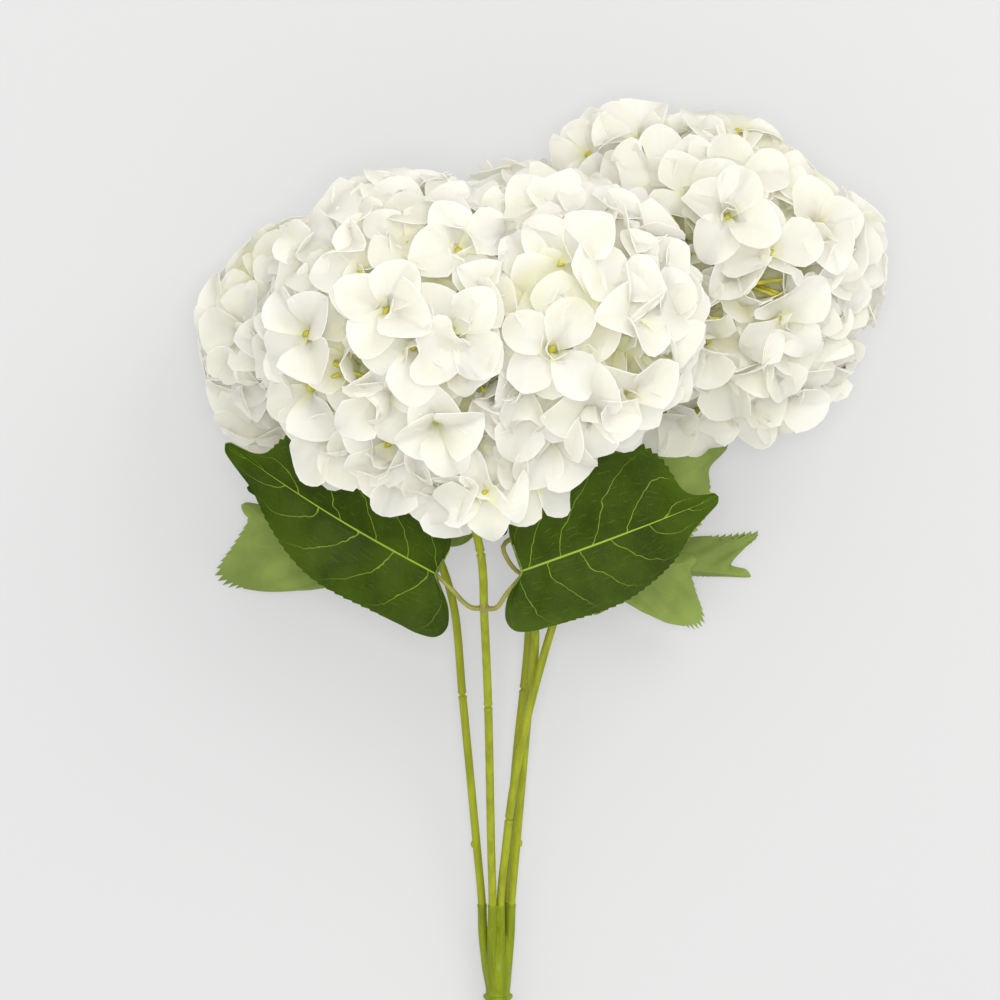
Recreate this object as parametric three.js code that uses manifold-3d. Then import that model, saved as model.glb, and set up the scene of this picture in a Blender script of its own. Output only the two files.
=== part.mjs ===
// A bunch of five white hydrangea blooms on one moulded stem joint, lying on a flat surface.
// Millimetres. +Z is up, +Y runs from the stem joint to the blooms and +X is to the right.
// The origin is the middle of the flat spot under the middle back bloom, which rests on the surface.
import * as THREE from "three";
import { mergeVertices } from "three/addons/utils/BufferGeometryUtils.js";
import Module from "manifold-3d";

const wasm = await Module();
wasm.setup();

// ---- Driving dimensions ----
const FIT_GAP = 0.35; // clear space between pieces that touch or plug together
const BLOOM_GAP = 1.2; // clear space between two blooms pressed against each other
const CORE_SHARE = 0.76; // inner crowd of petals, as a share of the bloom's radius
const CORE_CRUMPLE = 3.5; // how far its corners stand in or out
const CORE_RECESS = 2.5; // how far that crowd stays behind a face pressed by a neighbour
const UNDERSIDE_SHARE = 0.42; // the bloom is open this share of its radius below its middle
const SKIRT_SHARE = 0.34; // and its lowest florets hang this share of its radius lower

const FLORET_RADIUS = 29;
const FLORET_THICKNESS = 1.1;
const FLORET_SEAT = 0.85; // the lowest florets' middles sit at this share of the bloom's radius
const FLORET_LEVELS = 7; // florets side by side sit at different heights, so that their petals overlap
const FLORET_LEVEL_STEP = 2; // from one of those heights to the next
const FLORET_RISE = 3.5; // how far a petal's tip stands over the round of the bloom
const FLORET_RISE_SPREAD = 3;
const FLORET_LEAN = 0.16; // how far florets lean along the bloom's axis, as a share of its length
const PEDICEL_WIDTH = 5;
const PEDICEL_LENGTH = 19;
const HANGING_ROOT_SHARE = 0.3; // a hanging floret grows this share of the bloom's radius below its middle
const FLORETS_PER_BLOOM = 28;
const PRESSED_REACH = 3; // no floret's middle is further past a face pressed by a neighbour
const FLOOR_CLEAR = 8; // nor is one nearer to the surface below

const STEM_RADIUS = 2.1;
const STEM_SIDES = 6;
const STEM_STEPS = 10;
const SEAM_RADIUS = 2.7; // the sleeve of a stem is thicker where two lengths of it meet
const SEAM_LENGTH = 5;

const SPRAY_HUB_RADIUS = 4.2;
const SPRAY_HUB_LENGTH = 20;
const SPRAY_BRANCHES = 6;
const SPRAY_SPREAD = 0.36; // the branches reach the bloom on a ring of this share of its radius
const SPRAY_BRANCH_RADIUS = 1.3;
const SPRAY_BRANCH_START = 3; // below the hub's top
const SPRAY_BRANCH_DEPTH = 7; // how far the branches reach into the bloom

// The joint runs from the cut end of its trunk to the crotch between its five sockets. Its profile has the
// radius and the height of each point: the trunk, a collar, and the body that the sockets stand on.
const JOINT_FOOT = [-16.4, -412, 5];
const JOINT_CROTCH = [-16.3, -334, 15.4];
const JOINT_PROFILE = [
  [0, 0], [4.2, 0], [5, 1.2], [6.6, 48], [7.8, 49], [7.8, 51.6], [6.6, 52.4], [8.4, 68], [7.6, 71.5],
  [4, 73.5], [0, 74],
];
const SOCKET_RADIUS = 3.4;
const SOCKET_LENGTH = 18; // how much of the stem its socket covers
const SOCKET_ROOT_HEIGHT = 54; // the sockets grow out of the joint at this height
const SOCKET_ROOT_SHARE = 0.45; // as far from its axis as this share of the distance at their mouths

const PETIOLE_RADIUS = 1.3;
const CLIP_RADIUS = 3.4;
const CLIP_LENGTH = 4;

const LEAF_THICKNESS = 0.9;
const LEAF_ARCH = 0.07; // rise of the middle, as a share of the length
const LEAF_CURL = 0.0024; // how the slope of each half eases off towards the edge
const TOOTH_DEPTH = 0.035; // how far a tooth stands out or a notch in, as a share of the side's width
const TOOTHED_ROWS = [4, 8]; // the first and the last corner of an edge that is a tooth or a notch
const RIB_SHARES = [0, 0.06, 0.14, 0.22, 0.32, 0.42, 0.52, 0.62, 0.72, 0.8, 0.9];

// The edges of a leaf's side from its foot round its lobe to its tip, as shares of the leaf's length and of
// the side's width.
const LEAF_EDGES = {
  square: [
    [0, 0.24], [0.005, 0.475], [0.04, 0.68], [0.12, 0.85], [0.3, 0.97], [0.48, 1], [0.6, 0.95],
    [0.7, 0.81], [0.775, 0.56], [0.835, 0.2], [0.9, 0.12],
  ],
  broad: [
    [-0.13, 0.34], [-0.15, 0.56], [-0.08, 0.76], [0.1, 0.9], [0.3, 0.97], [0.48, 1], [0.6, 0.95],
    [0.7, 0.81], [0.775, 0.56], [0.835, 0.2], [0.9, 0.12],
  ],
  slim: [
    [-0.12, 0.36], [-0.155, 0.62], [-0.135, 0.82], [-0.06, 0.92], [0.14, 0.975], [0.28, 1], [0.41, 0.97],
    [0.53, 0.86], [0.7, 0.61], [0.815, 0.34], [0.95, 0.15],
  ],
  turned: [
    [0.06, 0.08], [0.2, 0.18], [0.34, 0.37], [0.5, 0.64], [0.66, 0.86], [0.8, 0.97], [0.9, 1],
    [0.955, 0.93], [0.965, 0.8], [0.94, 0.3], [0.97, 0.07],
  ],
  raised: [
    [-0.06, 0.14], [-0.06, 0.3], [0.1, 0.45], [0.3, 0.58], [0.5, 0.69], [0.8, 0.86], [1.03, 1],
    [1, 0.82], [0.95, 0.64], [0.9, 0.42], [0.92, 0.17],
  ],
};

const UP = new THREE.Vector3(0, 0, 1);

// Each bloom: its middle, its radius, the route of the stem's axis from the joint to its underside, where
// along Y that stem's sleeve has its seam and the florets that hang out below it.
const BLOOMS = [
  {
    name: "left_back",
    middle: [-101, -14, 68],
    radius: 70,
    stem: [
      [-24, -332, 14.4], [-24.7, -313.3, 19.5], [-27.4, -282.5, 26], [-34.5, -205.7, 41],
      [-39.8, -153.7, 50], [-50.8, -122, 54], [-71.7, -77, 59.3],
    ],
    seam: -202.8,
  },
  {
    name: "front_left",
    middle: [-55, -20, 163],
    radius: 77,
    stem: [
      [-19.6, -332, 20.8], [-19.2, -312.6, 27], [-19.9, -281.3, 40], [-21.4, -203.6, 83],
      [-23.1, -162.3, 108], [-24.9, -128.5, 128], [-35.3, -89.5, 142.5],
    ],
    seam: -207,
    hanging: [
      { seat: [-38, -94, 180], outward: [-0.1, -0.5, 0.86] },
      { seat: [-14, -96, 172], outward: [0.25, -0.5, 0.82] },
    ],
  },
  {
    name: "front_right",
    middle: [12, -17, 168],
    radius: 68,
    stem: [
      [-10.2, -332, 15], [-9.4, -313.3, 19.5], [-6.8, -282.3, 28], [-1, -213.5, 48],
      [2.8, -173.9, 62], [-1, -125, 90], [12, -70, 125],
    ],
    seam: -155,
  },
  {
    name: "middle_back",
    middle: [0, 0, 52],
    radius: 67,
    stem: [
      [-13.4, -332, 10.8], [-13.5, -313.8, 14.5], [-10.7, -283, 20], [-6.5, -232.1, 31],
      [-0.7, -174.7, 38], [0.5, -112, 44], [0.3, -68, 47.8],
    ],
    seam: -200.3,
  },
  {
    name: "right",
    middle: [96, 18, 80],
    radius: 81,
    stem: [
      [-14.9, -332, 18], [-15.1, -312.8, 24.5], [-12.2, -281.3, 39], [-8.6, -251.6, 50],
      [-1.1, -213, 59], [15.9, -153.4, 63], [37, -100, 66], [62.8, -48.5, 68.6],
    ],
    seam: -267,
  },
];

// Each pair of leaves: the bloom whose stem it is clipped to, where along Y, and its two leaves. A leaf has
// the point where its stalk ends, its tip, the way its upper face looks and its left and right sides, seen
// from that face with the tip up: edge, width and slope up from the midrib. A stalk may run through points.
const LEAF_PAIRS = [
  {
    bloom: "front_left",
    clip: -156.5,
    leaves: [
      {
        foot: [-47.5, -139, 112],
        tip: [-152.5, -74, 108],
        face: [-0.12, -0.25, 1],
        sides: [["slim", 32, 0.24], ["square", 40, 0.36]],
        stalk: [[-31, -156.6, 111], [-38.5, -149.5, 109.5]],
      },
      {
        foot: [-4.5, -137.5, 127],
        tip: [94, -100.5, 112],
        face: [0.1, -0.05, 1],
        sides: [["square", 45, 0.16], ["slim", 31.5, 0.24]],
        stalk: [[-17.5, -156.2, 113.5], [-11, -147.5, 119]],
      },
    ],
  },
  {
    bloom: "left_back",
    clip: -118,
    leaves: [
      {
        foot: [-67, -146, 46],
        tip: [-150, -105, 26],
        face: [0.1, -0.1, -1],
        sides: [["slim", 24, 0.2], ["turned", 39.5, 0.12]],
      },
      {
        foot: [-62, -118, 72],
        tip: [-144, -96, 78],
        face: [0.2, -0.5, 1],
        sides: [["broad", 24, 0.24], ["slim", 20, 0.24]],
      },
    ],
  },
  {
    bloom: "front_right",
    clip: -118,
    leaves: [
      {
        foot: [-14, -106, 86],
        tip: [-64, -70, 84],
        face: [0, 0.3, 1],
        sides: [["broad", 20, 0.24], ["slim", 18, 0.24]],
      },
      {
        foot: [36, -134, 80],
        tip: [101, -74, 66],
        face: [-0.3, 0.4, -1],
        sides: [["broad", 30, 0.24], ["slim", 26, 0.24]],
        stalk: [[-13.5, -125, 92], [-11, -133, 92], [-4.6, -139.5, 91], [16, -143, 92]],
      },
    ],
  },
  {
    bloom: "middle_back",
    clip: -122,
    leaves: [
      {
        foot: [-24, -108, 24],
        tip: [-86, -84, 10],
        face: [0.1, -0.1, -1],
        sides: [["slim", 24, 0.24], ["broad", 26, 0.24]],
      },
      {
        foot: [36.6, -135, 32],
        tip: [114.8, -142, 30],
        face: [0, 0.15, -1],
        sides: [["slim", 6, 2], ["raised", 22.5, 0.25]],
      },
    ],
  },
  {
    bloom: "right",
    clip: -153,
    leaves: [
      {
        foot: [34, -148, 43],
        tip: [82, -110, 39],
        face: [0.2, 0.2, -1],
        sides: [["slim", 13, 0.24], ["slim", 14, 0.24]],
      },
      {
        foot: [28, -148, 55],
        tip: [86, -133, 44],
        face: [-0.1, 0.1, -1],
        sides: [["turned", 34, 0.15], ["slim", 20, 0.24]],
      },
    ],
  },
];

const MATERIALS = {
  petal: new THREE.MeshStandardMaterial({ color: 0xf7f5e8, roughness: 0.75, metalness: 0 }),
  stem: new THREE.MeshStandardMaterial({ color: 0x8fa327, roughness: 0.45, metalness: 0 }),
  spray: new THREE.MeshStandardMaterial({ color: 0xb5b03a, roughness: 0.5, metalness: 0 }),
  petiole: new THREE.MeshStandardMaterial({ color: 0x8a8f45, roughness: 0.5, metalness: 0 }),
  leaf: new THREE.MeshStandardMaterial({ color: 0x2f5a1c, roughness: 0.6, metalness: 0 }),
};

// ---- Turning three.js geometry into solids and back ----

function solidOf(geometry, matrix = new THREE.Matrix4()) {
  const bare = geometry.clone().applyMatrix4(matrix);
  bare.deleteAttribute("normal");
  bare.deleteAttribute("uv");
  const merged = mergeVertices(bare, 1e-4);
  return new wasm.Manifold(
    new wasm.Mesh({
      numProp: 3,
      vertProperties: merged.attributes.position.array,
      triVerts: new Uint32Array(merged.index.array),
    }),
  );
}

// The largest body of a solid, so that a scrap cut loose is dropped.
function largestBody(solid) {
  return solid.decompose().reduce((best, body) => (body.volume() > best.volume() ? body : best));
}

function meshOf(solid, name, material) {
  const { numProp, vertProperties, triVerts } = solid.getMesh();
  const positions = new Float32Array((vertProperties.length / numProp) * 3);
  for (let i = 0; i < positions.length / 3; i++) {
    positions.set(vertProperties.subarray(i * numProp, i * numProp + 3), i * 3);
  }
  const geometry = new THREE.BufferGeometry();
  geometry.setAttribute("position", new THREE.BufferAttribute(positions, 3));
  geometry.setIndex(new THREE.BufferAttribute(triVerts, 1));
  const flat = geometry.toNonIndexed();
  flat.computeVertexNormals();
  const mesh = new THREE.Mesh(flat, material);
  mesh.name = name;
  return mesh;
}

// ---- Shared shapes ----

const vector = (point) => new THREE.Vector3(...point);

function regularOutline(radius, sides) {
  const shape = new THREE.Shape();
  for (let i = 0; i < sides; i++) {
    const angle = (2 * Math.PI * i) / sides;
    const [x, y] = [radius * Math.cos(angle), radius * Math.sin(angle)];
    if (i) shape.lineTo(x, y);
    else shape.moveTo(x, y);
  }
  return shape;
}

function tube(curve, radius, sides, steps) {
  const outline = regularOutline(radius, sides);
  return solidOf(new THREE.ExtrudeGeometry(outline, { extrudePath: curve, steps, bevelEnabled: false }));
}

function rod(from, to, radius, sides) {
  return tube(new THREE.LineCurve3(from, to), radius, sides, 1);
}

// A large block that fills everything beyond a plane, to cut with.
function blockBeyond(point, normal) {
  const size = 600;
  const turn = new THREE.Quaternion().setFromUnitVectors(UP, normal);
  const centre = point.clone().addScaledVector(normal, size / 2);
  const place = new THREE.Matrix4().compose(centre, turn, new THREE.Vector3(1, 1, 1));
  return solidOf(new THREE.BoxGeometry(size, size, size), place);
}

// A closed plate with one triangulation for both faces: points on the upper face, its triangles and its rim.
function plate(upper, triangles, rim, thickness) {
  const count = upper.length;
  const lower = upper.map(([x, y, z]) => [x, y, z - thickness]);
  const index = [];
  for (const [a, b, c] of triangles) {
    index.push(a, b, c, a + count, c + count, b + count);
  }
  rim.forEach((a, i) => {
    const b = rim[(i + 1) % rim.length];
    index.push(a, a + count, b, b, a + count, b + count);
  });
  const geometry = new THREE.BufferGeometry();
  geometry.setAttribute("position", new THREE.Float32BufferAttribute([...upper, ...lower].flat(), 3));
  geometry.setIndex(index);
  return geometry;
}

// ---- Florets ----

// One petal's edge: the angle from its left notch in degrees and the reach as a share of the floret's radius.
const PETAL_EDGE = [
  { angle: 0, reach: 0.4 },
  { angle: 17, reach: 0.86 },
  { angle: 45, reach: 1.04 },
  { angle: 73, reach: 0.86 },
];

// One floret: four rounded petals that follow the round of the bloom, on a pedicel that tapers downwards.
// rises holds how far the tip of each petal stands over that round, roundness is one over its radius and
// root is where the pedicel ends, seen from the floret's middle.
function floretGeometry(radius, rises, roundness, root) {
  const upper = [[0, 0, 0]];
  rises.forEach((rise, petal) => {
    for (const { angle, reach } of PETAL_EDGE) {
      const turn = THREE.MathUtils.degToRad(90 * petal + angle);
      const out = radius * reach;
      upper.push([out * Math.cos(turn), out * Math.sin(turn), rise * reach - (roundness * out ** 2) / 2]);
    }
  });
  const edge = upper.length - 1;
  const lower = upper.slice(1).map(([x, y, z]) => [x, y, z - FLORET_THICKNESS]);
  const neck = rises.map((_, petal) => {
    const turn = (Math.PI / 2) * petal;
    return [PEDICEL_WIDTH / 2 * Math.cos(turn), PEDICEL_WIDTH / 2 * Math.sin(turn), -FLORET_THICKNESS];
  });
  const atLower = (i) => 1 + edge + (i % edge);
  const atNeck = (petal) => 1 + 2 * edge + (petal % 4);
  const atRoot = 1 + 2 * edge + 4;
  const index = [];
  for (let i = 0; i < edge; i++) {
    const next = 1 + ((i + 1) % edge);
    index.push(0, 1 + i, next);
    index.push(1 + i, atLower(i), next, next, atLower(i), atLower(i + 1));
    const petal = Math.floor(i / PETAL_EDGE.length);
    const nearNeck = atNeck(i % PETAL_EDGE.length > 1 ? petal + 1 : petal);
    index.push(atLower(i), nearNeck, atLower(i + 1));
    if (i % PETAL_EDGE.length === 1) index.push(atLower(i + 1), nearNeck, atNeck(petal + 1));
  }
  for (let petal = 0; petal < 4; petal++) index.push(atNeck(petal), atRoot, atNeck(petal + 1));
  const geometry = new THREE.BufferGeometry();
  const corners = [...upper, ...lower, ...neck, root.toArray()].flat();
  geometry.setAttribute("position", new THREE.Float32BufferAttribute(corners, 3));
  geometry.setIndex(index);
  return geometry;
}

// ---- Blooms ----

// A ball whose corners stand in and out by turns, like petals crowded together.
function crumpledBall(radius) {
  const ball = new THREE.IcosahedronGeometry(radius, 1);
  const corners = ball.getAttribute("position");
  const corner = new THREE.Vector3();
  for (let i = 0; i < corners.count; i++) {
    corner.fromBufferAttribute(corners, i);
    const wave = Math.sin(0.31 * corner.x) + Math.sin(0.27 * corner.y) + Math.sin(0.29 * corner.z);
    corner.setLength(radius + (CORE_CRUMPLE * wave) / 2);
    corners.setXYZ(i, corner.x, corner.y, corner.z);
  }
  return ball;
}

const bloomAxis = (bloom) =>
  vector(bloom.middle).sub(vector(bloom.stem.at(-1))).normalize();

// The plane where two blooms press on each other, seen from the first.
function pressedFace(bloom, other) {
  const middle = vector(bloom.middle);
  const normal = vector(other.middle).sub(middle);
  const distance = normal.length();
  if (distance > bloom.radius + other.radius) return null;
  const reach = (distance ** 2 + bloom.radius ** 2 - other.radius ** 2) / (2 * distance) - BLOOM_GAP / 2;
  normal.normalize();
  return { normal, reach, point: middle.addScaledVector(normal, reach) };
}

// The bloom's florets, spread evenly over its ball by the golden angle, outside its open underside.
// Each has its middle, the way it looks, the rise of each petal and the roundness that it follows. Sines of
// its number make these vary from floret to floret.
function floretPlaces(bloom, faces) {
  const middle = vector(bloom.middle);
  const axis = bloomAxis(bloom);
  const turn = new THREE.Quaternion().setFromUnitVectors(UP, axis);
  const lowest = -UNDERSIDE_SHARE - SKIRT_SHARE;
  const goldenAngle = Math.PI * (3 - Math.sqrt(5));
  const places = [];
  for (let i = 0; i < FLORETS_PER_BLOOM; i++) {
    const height = 1 - ((1 - lowest) * (i + 0.5)) / FLORETS_PER_BLOOM;
    const ring = Math.sqrt(1 - height ** 2);
    const angle = i * goldenAngle;
    const outward = new THREE.Vector3(ring * Math.cos(angle), ring * Math.sin(angle), height);
    outward.applyQuaternion(turn);
    const reach = FLORET_SEAT * bloom.radius + FLORET_LEVEL_STEP * ((2 * i) % FLORET_LEVELS);
    const seat = middle.clone().addScaledVector(outward, reach);
    const pressed = faces.some((face) => face.normal.dot(seat.clone().sub(face.point)) > PRESSED_REACH);
    if (pressed || seat.z < FLOOR_CLEAR) continue;
    const riseOf = (petal) => FLORET_RISE + FLORET_RISE_SPREAD * Math.sin(2.4 * i + 1.9 * petal);
    const rises = [0, 1, 2, 3].map(riseOf);
    const lean = outward.clone().addScaledVector(axis, FLORET_LEAN * Math.sin(1.7 * i)).normalize();
    const root = seat.clone().addScaledVector(lean, -PEDICEL_LENGTH);
    places.push({ seat, outward: lean, spin: 1.1 * i, rises, roundness: 1 / reach, root });
  }
  return places;
}

// The floret that a low bloom rests on, pressed flat on the surface under its middle.
function floorFloret(bloom) {
  const root = vector(bloom.middle);
  const seat = root.clone().setZ(0);
  return { seat, outward: UP.clone().negate(), spin: 0, rises: [0, 0, 0, 0], roundness: 0, root };
}

// A floret that hangs out of the bloom's underside on a long pedicel.
function hangingFloret(bloom, { seat, outward }) {
  const root = vector(bloom.middle).addScaledVector(bloomAxis(bloom), -HANGING_ROOT_SHARE * bloom.radius);
  return {
    seat: vector(seat),
    outward: vector(outward).normalize(),
    spin: 0.4,
    rises: [6, 4, 6, 4],
    roundness: 0.01,
    root,
  };
}

function bloomSolid(bloom, faces) {
  const middle = vector(bloom.middle);
  const axis = bloomAxis(bloom);
  let solid = solidOf(crumpledBall(CORE_SHARE * bloom.radius), new THREE.Matrix4().makeTranslation(middle));
  const underside = middle.clone().addScaledVector(axis, -UNDERSIDE_SHARE * bloom.radius);
  solid = solid.subtract(blockBeyond(underside, axis.clone().negate()));
  for (const face of faces) {
    const recessed = face.point.clone().addScaledVector(face.normal, -CORE_RECESS);
    solid = solid.subtract(blockBeyond(recessed, face.normal));
  }
  const places = floretPlaces(bloom, faces);
  if (middle.z < bloom.radius) places.push(floorFloret(bloom));
  for (const floret of bloom.hanging ?? []) places.push(hangingFloret(bloom, floret));
  for (const { seat, outward, spin, rises, roundness, root } of places) {
    const turn = new THREE.Quaternion().setFromUnitVectors(UP, outward);
    turn.multiply(new THREE.Quaternion().setFromAxisAngle(UP, spin));
    const place = new THREE.Matrix4().compose(seat, turn, new THREE.Vector3(1, 1, 1));
    const ownRoot = root.clone().applyMatrix4(place.clone().invert());
    solid = solid.add(solidOf(floretGeometry(FLORET_RADIUS, rises, roundness, ownRoot), place));
  }
  for (const face of faces) solid = solid.subtract(blockBeyond(face.point, face.normal));
  return solid.subtract(blockBeyond(new THREE.Vector3(0, 0, 0), UP.clone().negate()));
}

// ---- Sprays: the green branches that hold the florets, seen from below a bloom ----

function sprayParts(bloom, grow) {
  const axis = bloomAxis(bloom);
  const top = vector(bloom.stem.at(-1));
  const middle = vector(bloom.middle);
  const hubTop = top.clone().addScaledVector(axis, SPRAY_HUB_LENGTH / 2);
  const hubFoot = top.clone().addScaledVector(axis, -SPRAY_HUB_LENGTH / 2);
  const side = new THREE.Vector3().crossVectors(axis, UP).normalize();
  const up = new THREE.Vector3().crossVectors(side, axis);
  let solid = rod(hubFoot, hubTop, SPRAY_HUB_RADIUS, 6);
  for (let i = 0; i < SPRAY_BRANCHES; i++) {
    const angle = (2 * Math.PI * (i + 0.5)) / SPRAY_BRANCHES;
    const spread = SPRAY_SPREAD * bloom.radius;
    const end = middle
      .clone()
      .addScaledVector(axis, -UNDERSIDE_SHARE * bloom.radius + SPRAY_BRANCH_DEPTH + grow)
      .addScaledVector(side, spread * Math.cos(angle))
      .addScaledVector(up, spread * Math.sin(angle));
    const start = hubTop.clone().addScaledVector(axis, -SPRAY_BRANCH_START);
    solid = solid.add(rod(start, end, SPRAY_BRANCH_RADIUS + grow, 4));
  }
  return solid;
}

// ---- Stems, joint and leaf stalks ----

const stemCurve = (bloom) => new THREE.CatmullRomCurve3(bloom.stem.map(vector));

// A length of sleeve round a stem, at a place along Y.
function sleeve(curve, y, radius, length) {
  let [low, high] = [0, 1];
  while (high - low > 1e-4) {
    const share = (low + high) / 2;
    if (curve.getPointAt(share).y < y) low = share;
    else high = share;
  }
  const middle = curve.getPointAt(low);
  const half = curve.getTangentAt(low).multiplyScalar(length / 2);
  return { middle, solid: rod(middle.clone().sub(half), middle.clone().add(half), radius, STEM_SIDES) };
}

function stemSolid(bloom) {
  const curve = stemCurve(bloom);
  const seam = sleeve(curve, bloom.seam, SEAM_RADIUS, SEAM_LENGTH);
  return tube(curve, STEM_RADIUS, STEM_SIDES, STEM_STEPS).add(seam.solid);
}

// A stem grown by the fit gap, to cut the hole that it stands in.
const stemHole = (bloom) => tube(stemCurve(bloom), STEM_RADIUS + FIT_GAP, STEM_SIDES, STEM_STEPS);

function jointSolid() {
  const foot = vector(JOINT_FOOT);
  const along = vector(JOINT_CROTCH).sub(foot).normalize();
  const profile = JOINT_PROFILE.map(([radius, height]) => new THREE.Vector2(radius, height));
  const turn = new THREE.Quaternion().setFromUnitVectors(new THREE.Vector3(0, 1, 0), along);
  const place = new THREE.Matrix4().compose(foot, turn, new THREE.Vector3(1, 1, 1));
  let solid = solidOf(new THREE.LatheGeometry(profile, 12), place);
  const onAxis = (height) => foot.clone().addScaledVector(along, height);
  for (const bloom of BLOOMS) {
    const curve = stemCurve(bloom);
    const start = curve.getPointAt(0);
    const offset = start.clone().sub(onAxis(start.clone().sub(foot).dot(along)));
    const root = onAxis(SOCKET_ROOT_HEIGHT).addScaledVector(offset, SOCKET_ROOT_SHARE);
    const mouth = curve.getPointAt(SOCKET_LENGTH / curve.getLength());
    const route = new THREE.CatmullRomCurve3([root, start, mouth]);
    solid = solid.add(tube(route, SOCKET_RADIUS, STEM_SIDES, 4));
  }
  for (const bloom of BLOOMS) solid = solid.subtract(stemHole(bloom));
  return solid.subtract(blockBeyond(new THREE.Vector3(0, 0, 0), UP.clone().negate()));
}

// A clip round the stem with a curved stalk to each leaf, and on under it as its midrib.
function stalkSolid(pair, bloom) {
  const clip = sleeve(stemCurve(bloom), pair.clip, CLIP_RADIUS, CLIP_LENGTH);
  let solid = clip.solid;
  for (const leaf of pair.leaves) {
    const frame = leafFrame(leaf);
    const under = -(LEAF_THICKNESS + FIT_GAP + PETIOLE_RADIUS);
    const joinsAt = frame.point(0.06 * frame.length, 0, under);
    const ribEnd = frame.point(0.3 * frame.length, 0, under + frame.height(0.3 * frame.length, 0));
    const bends = leaf.stalk ? leaf.stalk.map(vector) : [frame.point(-0.1 * frame.length, 0, under - 1)];
    const route = new THREE.CatmullRomCurve3([clip.middle, ...bends, joinsAt, ribEnd]);
    solid = solid.add(tube(route, PETIOLE_RADIUS, 4, 8));
  }
  return solid.subtract(stemHole(bloom));
}

// ---- Leaves ----

// A leaf's own frame: u runs from its stalk to its tip, v across it and w out of its upper face. The blade
// arches along u and slopes up from the midrib.
function leafFrame(leaf) {
  const foot = vector(leaf.foot);
  const u = vector(leaf.tip).sub(foot);
  const length = u.length();
  u.normalize();
  const v = new THREE.Vector3().crossVectors(vector(leaf.face), u).normalize();
  const w = new THREE.Vector3().crossVectors(u, v);
  const point = (a, b, c) =>
    foot.clone().addScaledVector(u, a).addScaledVector(v, b).addScaledVector(w, c);
  const slopes = leaf.sides.map(([, , slope]) => slope);
  const height = (along, across) => {
    const arch = LEAF_ARCH * length * Math.sin(Math.PI * THREE.MathUtils.clamp(along / length, 0, 1));
    return arch + slopes[across < 0 ? 1 : 0] * Math.abs(across) - LEAF_CURL * across ** 2;
  };
  return { foot, u, v, w, length, point, height };
}

// A closed outline with every corner moved outwards.
function grownOutline(outline, grow) {
  return outline.map(([x, y], i) => {
    const [before, after] = [outline.at(i - 1), outline[(i + 1) % outline.length]];
    const out = new THREE.Vector2();
    for (const [from, to] of [[before, [x, y]], [[x, y], after]]) {
      out.add(new THREE.Vector2(to[1] - from[1], from[0] - to[0]).normalize());
    }
    out.setLength(1.5 * grow);
    return [x + out.x, y + out.y];
  });
}

function leafSolid(leaf, grow = 0) {
  const frame = leafFrame(leaf);
  const [left, right] = leaf.sides.map(([edge, width], side) =>
    LEAF_EDGES[edge].map(([share, reach], row) => {
      const toothed = row >= TOOTHED_ROWS[0] && row <= TOOTHED_ROWS[1];
      const tooth = toothed ? TOOTH_DEPTH * (row % 2 ? 1 : -1) : 0;
      return [share * frame.length, (side ? -1 : 1) * width * (reach + tooth)];
    }),
  );
  const rows = right.length;
  const outline = grownOutline([[0, 0], ...right, [frame.length, 0], ...left.reverse()], grow);
  const ribs = RIB_SHARES.slice(1).map((share) => [share * frame.length, 0]);
  const upper = [...outline, ...ribs].map(([a, b]) => [a, b, frame.height(a, b) + grow]);
  const rightAt = (row) => 1 + row;
  const leftAt = (row) => 2 * rows + 1 - row;
  const ribAt = (row) => (row ? outline.length + row - 1 : 0);
  const tip = rows + 1;
  const triangles = [];
  for (let row = 0; row + 1 < rows; row++) {
    const [rib, nextRib] = [ribAt(row), ribAt(row + 1)];
    triangles.push([rib, nextRib, leftAt(row + 1)], [rib, leftAt(row + 1), leftAt(row)]);
    triangles.push([rib, rightAt(row), rightAt(row + 1)], [rib, rightAt(row + 1), nextRib]);
  }
  const last = rows - 1;
  triangles.push([ribAt(last), tip, leftAt(last)], [ribAt(last), rightAt(last), tip]);
  const rim = outline.map((_, i) => i);
  const basis = new THREE.Matrix4().makeBasis(frame.u, frame.v, frame.w).setPosition(frame.foot);
  return solidOf(plate(upper, triangles, rim, LEAF_THICKNESS + 2 * grow), basis);
}

// ---- The bunch ----

const bloomNamed = (name) => BLOOMS.find((bloom) => bloom.name === name);

const bunch = new THREE.Group();
const leaves = [];
const stalks = [];

for (const pair of LEAF_PAIRS) {
  stalks.push(stalkSolid(pair, bloomNamed(pair.bloom)));
  pair.leaves.forEach((leaf, i) => {
    const name = `leaf_${pair.bloom}_${i + 1}`;
    leaves.push({ name, solid: leafSolid(leaf), hole: leafSolid(leaf, FIT_GAP) });
  });
}

for (const bloom of BLOOMS) {
  const faces = BLOOMS.filter((other) => other !== bloom)
    .map((other) => pressedFace(bloom, other))
    .filter(Boolean);
  const hole = stemHole(bloom);
  let petals = bloomSolid(bloom, faces);
  petals = petals.subtract(sprayParts(bloom, FIT_GAP));
  for (const { hole: leafHole } of leaves) petals = petals.subtract(leafHole);
  for (const other of BLOOMS) petals = petals.subtract(stemHole(other));
  bunch.add(meshOf(largestBody(petals), `bloom_${bloom.name}`, MATERIALS.petal));
  bunch.add(meshOf(largestBody(sprayParts(bloom, 0).subtract(hole)), `spray_${bloom.name}`, MATERIALS.spray));
  bunch.add(meshOf(stemSolid(bloom), `stem_${bloom.name}`, MATERIALS.stem));
}
LEAF_PAIRS.forEach((pair, i) => {
  bunch.add(meshOf(largestBody(stalks[i]), `stalks_${pair.bloom}`, MATERIALS.petiole));
});
for (const { name, solid } of leaves) bunch.add(meshOf(solid, name, MATERIALS.leaf));
bunch.add(meshOf(jointSolid(), "stem_joint", MATERIALS.stem));

export default bunch;
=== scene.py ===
import math
import random

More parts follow.
